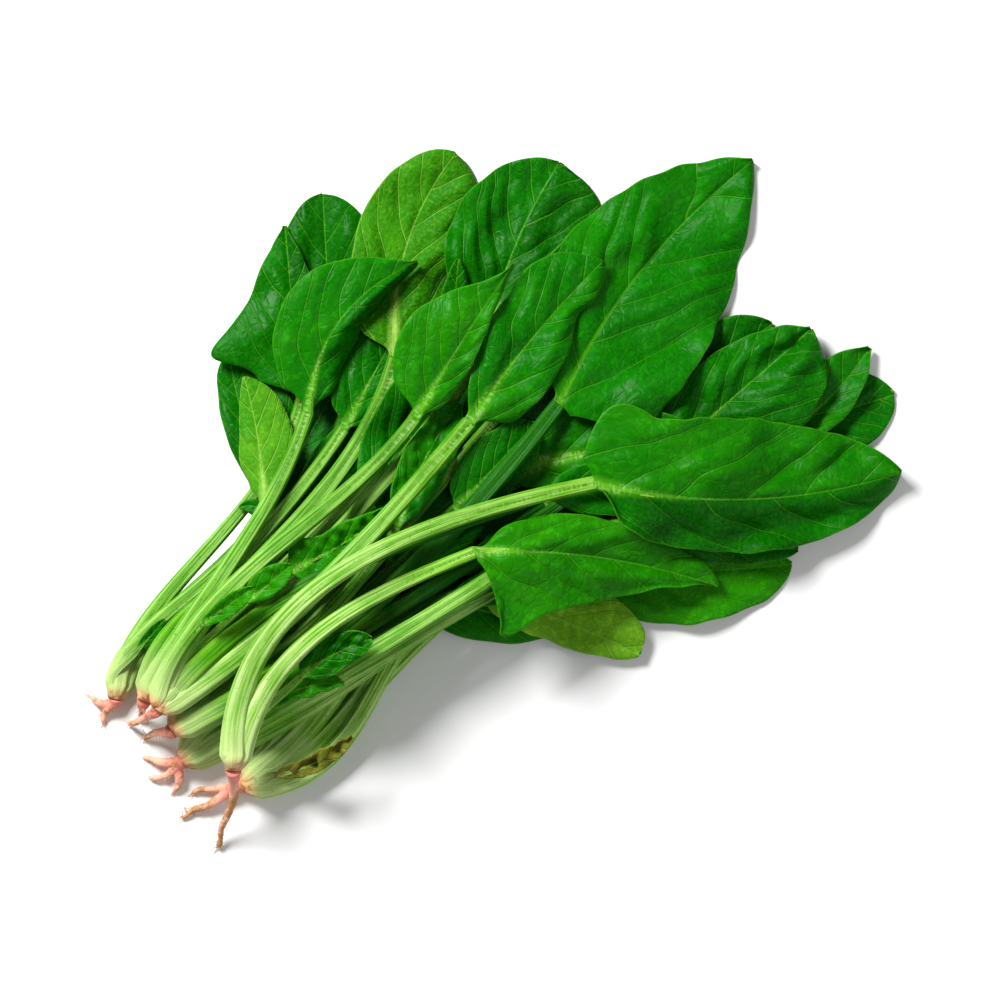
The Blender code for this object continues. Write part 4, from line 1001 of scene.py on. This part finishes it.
def blade_relief(leaf, key, length, t, s, x, y, seed):
    """How far a blade's skin stands off its middle surface, between veins and in crumples."""
    full = np.where(s > 0, *leaf.half)
    spacing = vein_spacing(length)
    phase = vein_phase(length, full, x, y, seed) + np.where(s > 0, 0.42, 0.0)
    to_vein = np.abs(phase - np.rint(phase)) * spacing * 0.6
    to_net = cell_edges(phase * spacing * 0.8, y + np.where(s > 0, 300, 0), spacing * 0.75, seed)
    size = min(sum(leaf.half) / 44, 1.2)
    inner = np.clip(y / 5, 0, 1) ** 0.7 * np.clip((1 - np.abs(s)) * 3, 0.1, 1)
    puff = 1.1 * (1 - np.exp(-((to_vein / 3.0) ** 1.6))) + 0.3 * (1 - np.exp(-((to_net / 2.2) ** 2)))
    puff = puff * inner * size - 0.5 * size * np.exp(-((y / 1.4) ** 2)) * np.clip(t * 3 - 0.4, 0, 1)
    puff += 1.2 * size * ripples(x, y + 40 * np.sign(s), 26, seed + 3) * np.clip(y / 7, 0, 1)
    crumple = CRUMPLED.get(key, 0.0)
    puff += crumple * ripples(x, y * np.sign(s), 7, seed + 5, 9) * np.clip(t * 6, 0, 1)
    return puff * np.clip(t * 10, 0, 1) * np.clip((1 - t) * 8, 0.1, 1)


def build_blade(leaf, rank, rise_at_joint):
    """The fine blade over its solid; returns its midrib and how far its base was lifted."""
    key = (leaf.plant, rank)
    name = f"plant_{leaf.plant}_leaf_{rank}"
    seed = leaf.plant * 100 + rank
    length = np.linalg.norm(np.array(leaf.tip) - np.array(leaf.base)) * (1 + 2 * abs(leaf.bow) ** 2)
    rows = max(int(length / WEAVE), 14)
    columns = 2 * max(int(sum(leaf.half) / 2 / WEAVE), 5)
    u = np.linspace(0, 1, rows + 1)
    fine_t = 0.5 * u + 0.5 * (0.5 - 0.5 * np.cos(math.pi * u))
    fine_s = np.linspace(-1, 1, columns + 1)
    height = solid_surface(leaf, name, fine_t, fine_s)
    t, s = np.meshgrid(fine_t, fine_s, indexing="ij")
    x = t * length
    width = half_width(leaf, t.ravel(), s.ravel()).reshape(t.shape)
    y = np.abs(s) * width
    body = np.clip(np.minimum(t, 1 - t) * 8, 0, 1)
    spread = np.where(s > 0, *SPREADS.get(key, (0, 0)))
    wobble = (0.5 * ripples(x, np.sign(s) * 40, 18, seed) + spread) * body
    plan = blade_plan(leaf, t.ravel(), s.ravel(), wobble.ravel()).reshape(*t.shape, 2)

    # The edges wave and droop a little, and then the blade is settled on the pile.
    height += rise_at_joint * np.clip(1 - t * 3, 0, 1) ** 2
    size = min(leaf.half) / 14.0
    height += 0.7 * size * ripples(x, np.sign(s) * 30 + y * 0.5, 30, seed + 7) * np.abs(s) ** 2.5 * body
    for middle, rise, breadth, start, end in FOLDS.get(key, []):
        run = np.clip((t - start) * 5, 0, 1) * np.clip((end - t) * 5, 0, 1)
        bent = middle + 0.08 * ripples(x, 0 * x, 45, seed + 11)
        height += rise * np.exp(-(((s - bent) / breadth) ** 2)) * run
    height += np.where(s > 0, *ROLLS.get(key, (0, 0))) * np.clip(np.abs(s) * 2 - 1, 0, 1) ** 2 * body
    height -= 0.8 * np.abs(s) ** 8
    need = np.maximum(pile.read(pile.floor(), plan) + SKIN - height, 0)
    for axis in (0, 1):
        need = largest_near(need, 3, axis)
    for axis in (0, 1):
        need = soften(need, 2.2, axis)
    base_lift = need[0, columns // 2]
    height += np.maximum(need, base_lift * np.clip(1 - t * 8, 0, 1))

    points = np.dstack([plan, height])
    run_t, run_s = np.gradient(points, axis=0), np.gradient(points, axis=1)
    normal = unit(np.cross(run_t, run_s))
    points = points + normal * blade_relief(leaf, key, length, t, s, x, y, seed)[..., None]

    mesh = bmesh.new()
    bmesh.ops.create_grid(mesh, x_segments=rows, y_segments=columns, size=0.5)
    mesh.verts.ensure_lookup_table()
    index = np.array([(v.co.x, v.co.y) for v in mesh.verts]) + 0.5
    index = np.rint(index * [rows, columns]).astype(int)
    for vertex, point in zip(mesh.verts, metres(points[index[:, 0], index[:, 1]])):
        vertex.co = point
    piece = place_piece(mesh, name + "_skin", blade_skins[leaf.kind], BLADE_SLOTS[leaf.kind], name)

    data = piece.data
    loops = np.empty(len(data.loops), dtype=int)
    data.loops.foreach_get("vertex_index", loops)
    row, column = index[loops, 0], index[loops, 1]
    on_left = np.repeat(s[row, column].reshape(-1, 4).mean(axis=1) > 0, 4)
    across = (s * width)[row, column]
    left = vein_phase(length, leaf.half[0], x, y, seed)[row, column] + 0.42
    right = vein_phase(length, leaf.half[1], x, y, seed)[row, column]
    vein_half = (0.26 + 0.5 * leaf.stalk * (1 - t[row, column]) ** 3) * BROAD.get(key, 1)
    # The tone adds painted light and shade to each half of the blade.
    tone = TONES.get(key, 0.12) + np.where(on_left, *PAINTED_HALF_LIGHTS.get(key, (0, 0)))
    forked = np.clip(y / np.where(s > 0, *leaf.half) / 0.7 - 0.6, 0, 1)[row, column] * 0.45
    phase = np.where(on_left, left, right)
    maps = {
        "fork": np.column_stack([phase - forked, forked]),
        "blade": np.column_stack([x[row, column], across]) / 10 + seed % 17,
        "vein": np.column_stack([phase, np.abs(across) / vein_half]),
        "rim": np.column_stack([(width - y)[row, column] / 10, tone]),
        "span": np.column_stack([t[row, column] + FADED.get(key, 0),
                                 np.full(len(loops), vein_spacing(length) / 10)]),
    }
    for title, values in maps.items():
        data.uv_layers.new(name=title).data.foreach_set("uv", values.ravel())

    shell = piece.modifiers.new("thickness", "SOLIDIFY")
    shell.thickness = SKIN * MM
    shell.offset = -1
    shell.material_offset = 1
    shell.material_offset_rim = 0
    pile.add(points[..., :2].reshape(-1, 2), points[..., 2].ravel())
    return fine_t, points[:, columns // 2], base_lift


for number, plant in PLANTS.items():
    leaves = [leaf for leaf in LEAVES if leaf.plant == number]
    below = pile.floor()
    corners = solid_points(f"plant_{number}_stalks")
    stalks = bmesh.new()
    rings, centre, reach, along = crown_rings(number, plant)
    sweep_tube(stalks, rings, along, STALK_TONES[number])
    for rank, leaf in enumerate(leaves):
        draw = np.random.default_rng(number * 31 + rank)
        share = rank / (len(leaves) - 1)
        t, places, travel, run, height, lift = stalk_line(leaf, share, corners, below)
        half = stalk_half_width(leaf, t)
        deep = half * STALK_DEPTH
        half = half * STALK_SWELL
        blade_t, rib_line, base_lift = build_blade(leaf, rank + 1, lift)
        height += base_lift * np.clip((run - run[-1]) / 40 + 1, 0, 1) ** 2
        pile.add(places, height + deep)
        for e in (-0.7, 0.7):
            pile.add(places + left_of(travel) * (e * half)[:, None], height + deep * 0.7)

        # The midrib carries the stalk on under the blade, and shows a little near its base.
        under = (blade_t > 0.012) & (blade_t < RIB_END)
        rib_t, rib = blade_t[under][::2], rib_line[under][::2]
        rib_half = 0.4 + (leaf.stalk - 0.4) * np.clip(1 - rib_t / 0.5, 0, 1) ** 1.5
        rib_deep = np.maximum(rib_depth(leaf, rib_t) / 2 * 0.9, 0.45)
        rib[:, 2] += 0.25 * np.clip(1 - rib_t * 2, -0.6, 1) - rib_deep
        start = np.array([*places[0], height[0]])
        first, first_half = clasp(leaf, share, start, half[0])
        line = np.vstack([first, np.column_stack([places, height]), rib])
        line[:, 2] = soften(line[:, 2], 1.2, 0)
        way = np.gradient(line[:, :2], axis=0)
        half = np.concatenate([first_half, half, rib_half])
        deep = np.concatenate([first_half * 0.75, deep, rib_deep])
        channel = draw.uniform(0.3, 0.65) * np.concatenate([
            np.full(len(first), 0.1), np.clip(run / run[-1], 0.15, 1), np.clip(1 - rib_t * 2.5, 0, 1)])
        across, up_by = stalk_section(half, deep, channel)
        side, up = tube_frame(line, way)
        rings = line[:, None] + side[:, None] * across[..., None] + up[:, None] * up_by[..., None]
        # Painted shade: stalks that lie under leaves are darkened through their tone.
        tone = STALK_TONES[number] + draw.uniform(-0.25, 0.2) - STALK_PAINTED_SHADE.get((number, rank + 1), 0)
        ripe = np.concatenate([np.zeros(len(first)), t, np.ones(len(rib))])
        steps = np.linalg.norm(np.diff(line, axis=0), axis=1)
        sweep_tube(stalks, rings, np.concatenate([[0], np.cumsum(steps)]), tone, ripe)
    pile.add(centre[:, :2], centre[:, 2] + reach)
    place_piece(stalks, f"plant_{number}_stalks_skin", [stalk_skin], "stalk", f"plant_{number}_stalks")

# ---------------------------------------------------------- table, lights and camera
# The bunch lies on a plain pale table under soft studio light, which comes mostly from
# above and the upper left of the view.  The camera looks straight down on it.

FLOOR_SIDE = 3.0
CENTRE = (0.00844, -0.02132)    # the point on the table that the camera looks at
TURN = math.radians(-40)        # the bunch lies across the view, its leaves at the upper right
VIEW_WIDTH = 0.42
LENS = 300.0
SENSOR = 36.0
FOCUS_HEIGHT = 0.02


def table_material():
    """A matt white table top."""
    make = Nodes("table_top")
    grain = make.noise(make.object_place(), 12, 2)
    return make.finish(make.mix(grain, (0.86, 0.86, 0.86), (0.90, 0.90, 0.89)), 0.8)


table = bmesh.new()
bmesh.ops.create_grid(table, x_segments=1, y_segments=1, size=FLOOR_SIDE / 2)
table_data = bpy.data.meshes.new("table")
table.to_mesh(table_data)
table.free()
table_data.materials.append(table_material())
table_top = bpy.data.objects.new("table", table_data)
bpy.context.scene.collection.objects.link(table_top)


def soft_light(name, place, side, power):
    """A square soft light that points at the bunch."""
    data = bpy.data.lights.new(name, "AREA")
    data.shape = "SQUARE"
    data.size = side
    data.energy = power
    light = bpy.data.objects.new(name, data)
    light.location = place
    aim = np.array([*CENTRE, FOCUS_HEIGHT]) - np.array(place)
    light.rotation_euler = Vector(aim).to_track_quat("-Z", "Y").to_euler()
    light.visible_camera = False
    bpy.context.scene.collection.objects.link(light)


def view_place(right, up, height):
    """A place given by the view's own right and up."""
    c, s = math.cos(TURN), math.sin(TURN)
    return CENTRE[0] + right * c - up * s, CENTRE[1] + right * s + up * c, height


soft_light("key", view_place(-0.65, 0.75, 0.95), 0.45, 33)
soft_light("fill", view_place(0.9, -0.5, 1.1), 1.2, 6)

world = bpy.data.worlds.new("studio")
world.use_nodes = True
world.node_tree.nodes["Background"].inputs["Color"].default_value = (1, 1, 1, 1)
world.node_tree.nodes["Background"].inputs["Strength"].default_value = 0.22
bpy.context.scene.world = world

camera_data = bpy.data.cameras.new("camera")
camera_data.lens = LENS
camera_data.sensor_width = SENSOR
camera = bpy.data.objects.new("camera", camera_data)
camera.location = (*CENTRE, FOCUS_HEIGHT + VIEW_WIDTH * LENS / SENSOR)
camera.rotation_euler = (0, 0, TURN)
camera_data.clip_end = 20
bpy.context.scene.collection.objects.link(camera)
bpy.context.scene.camera = camera
bpy.context.scene.view_settings.view_transform = "Standard"
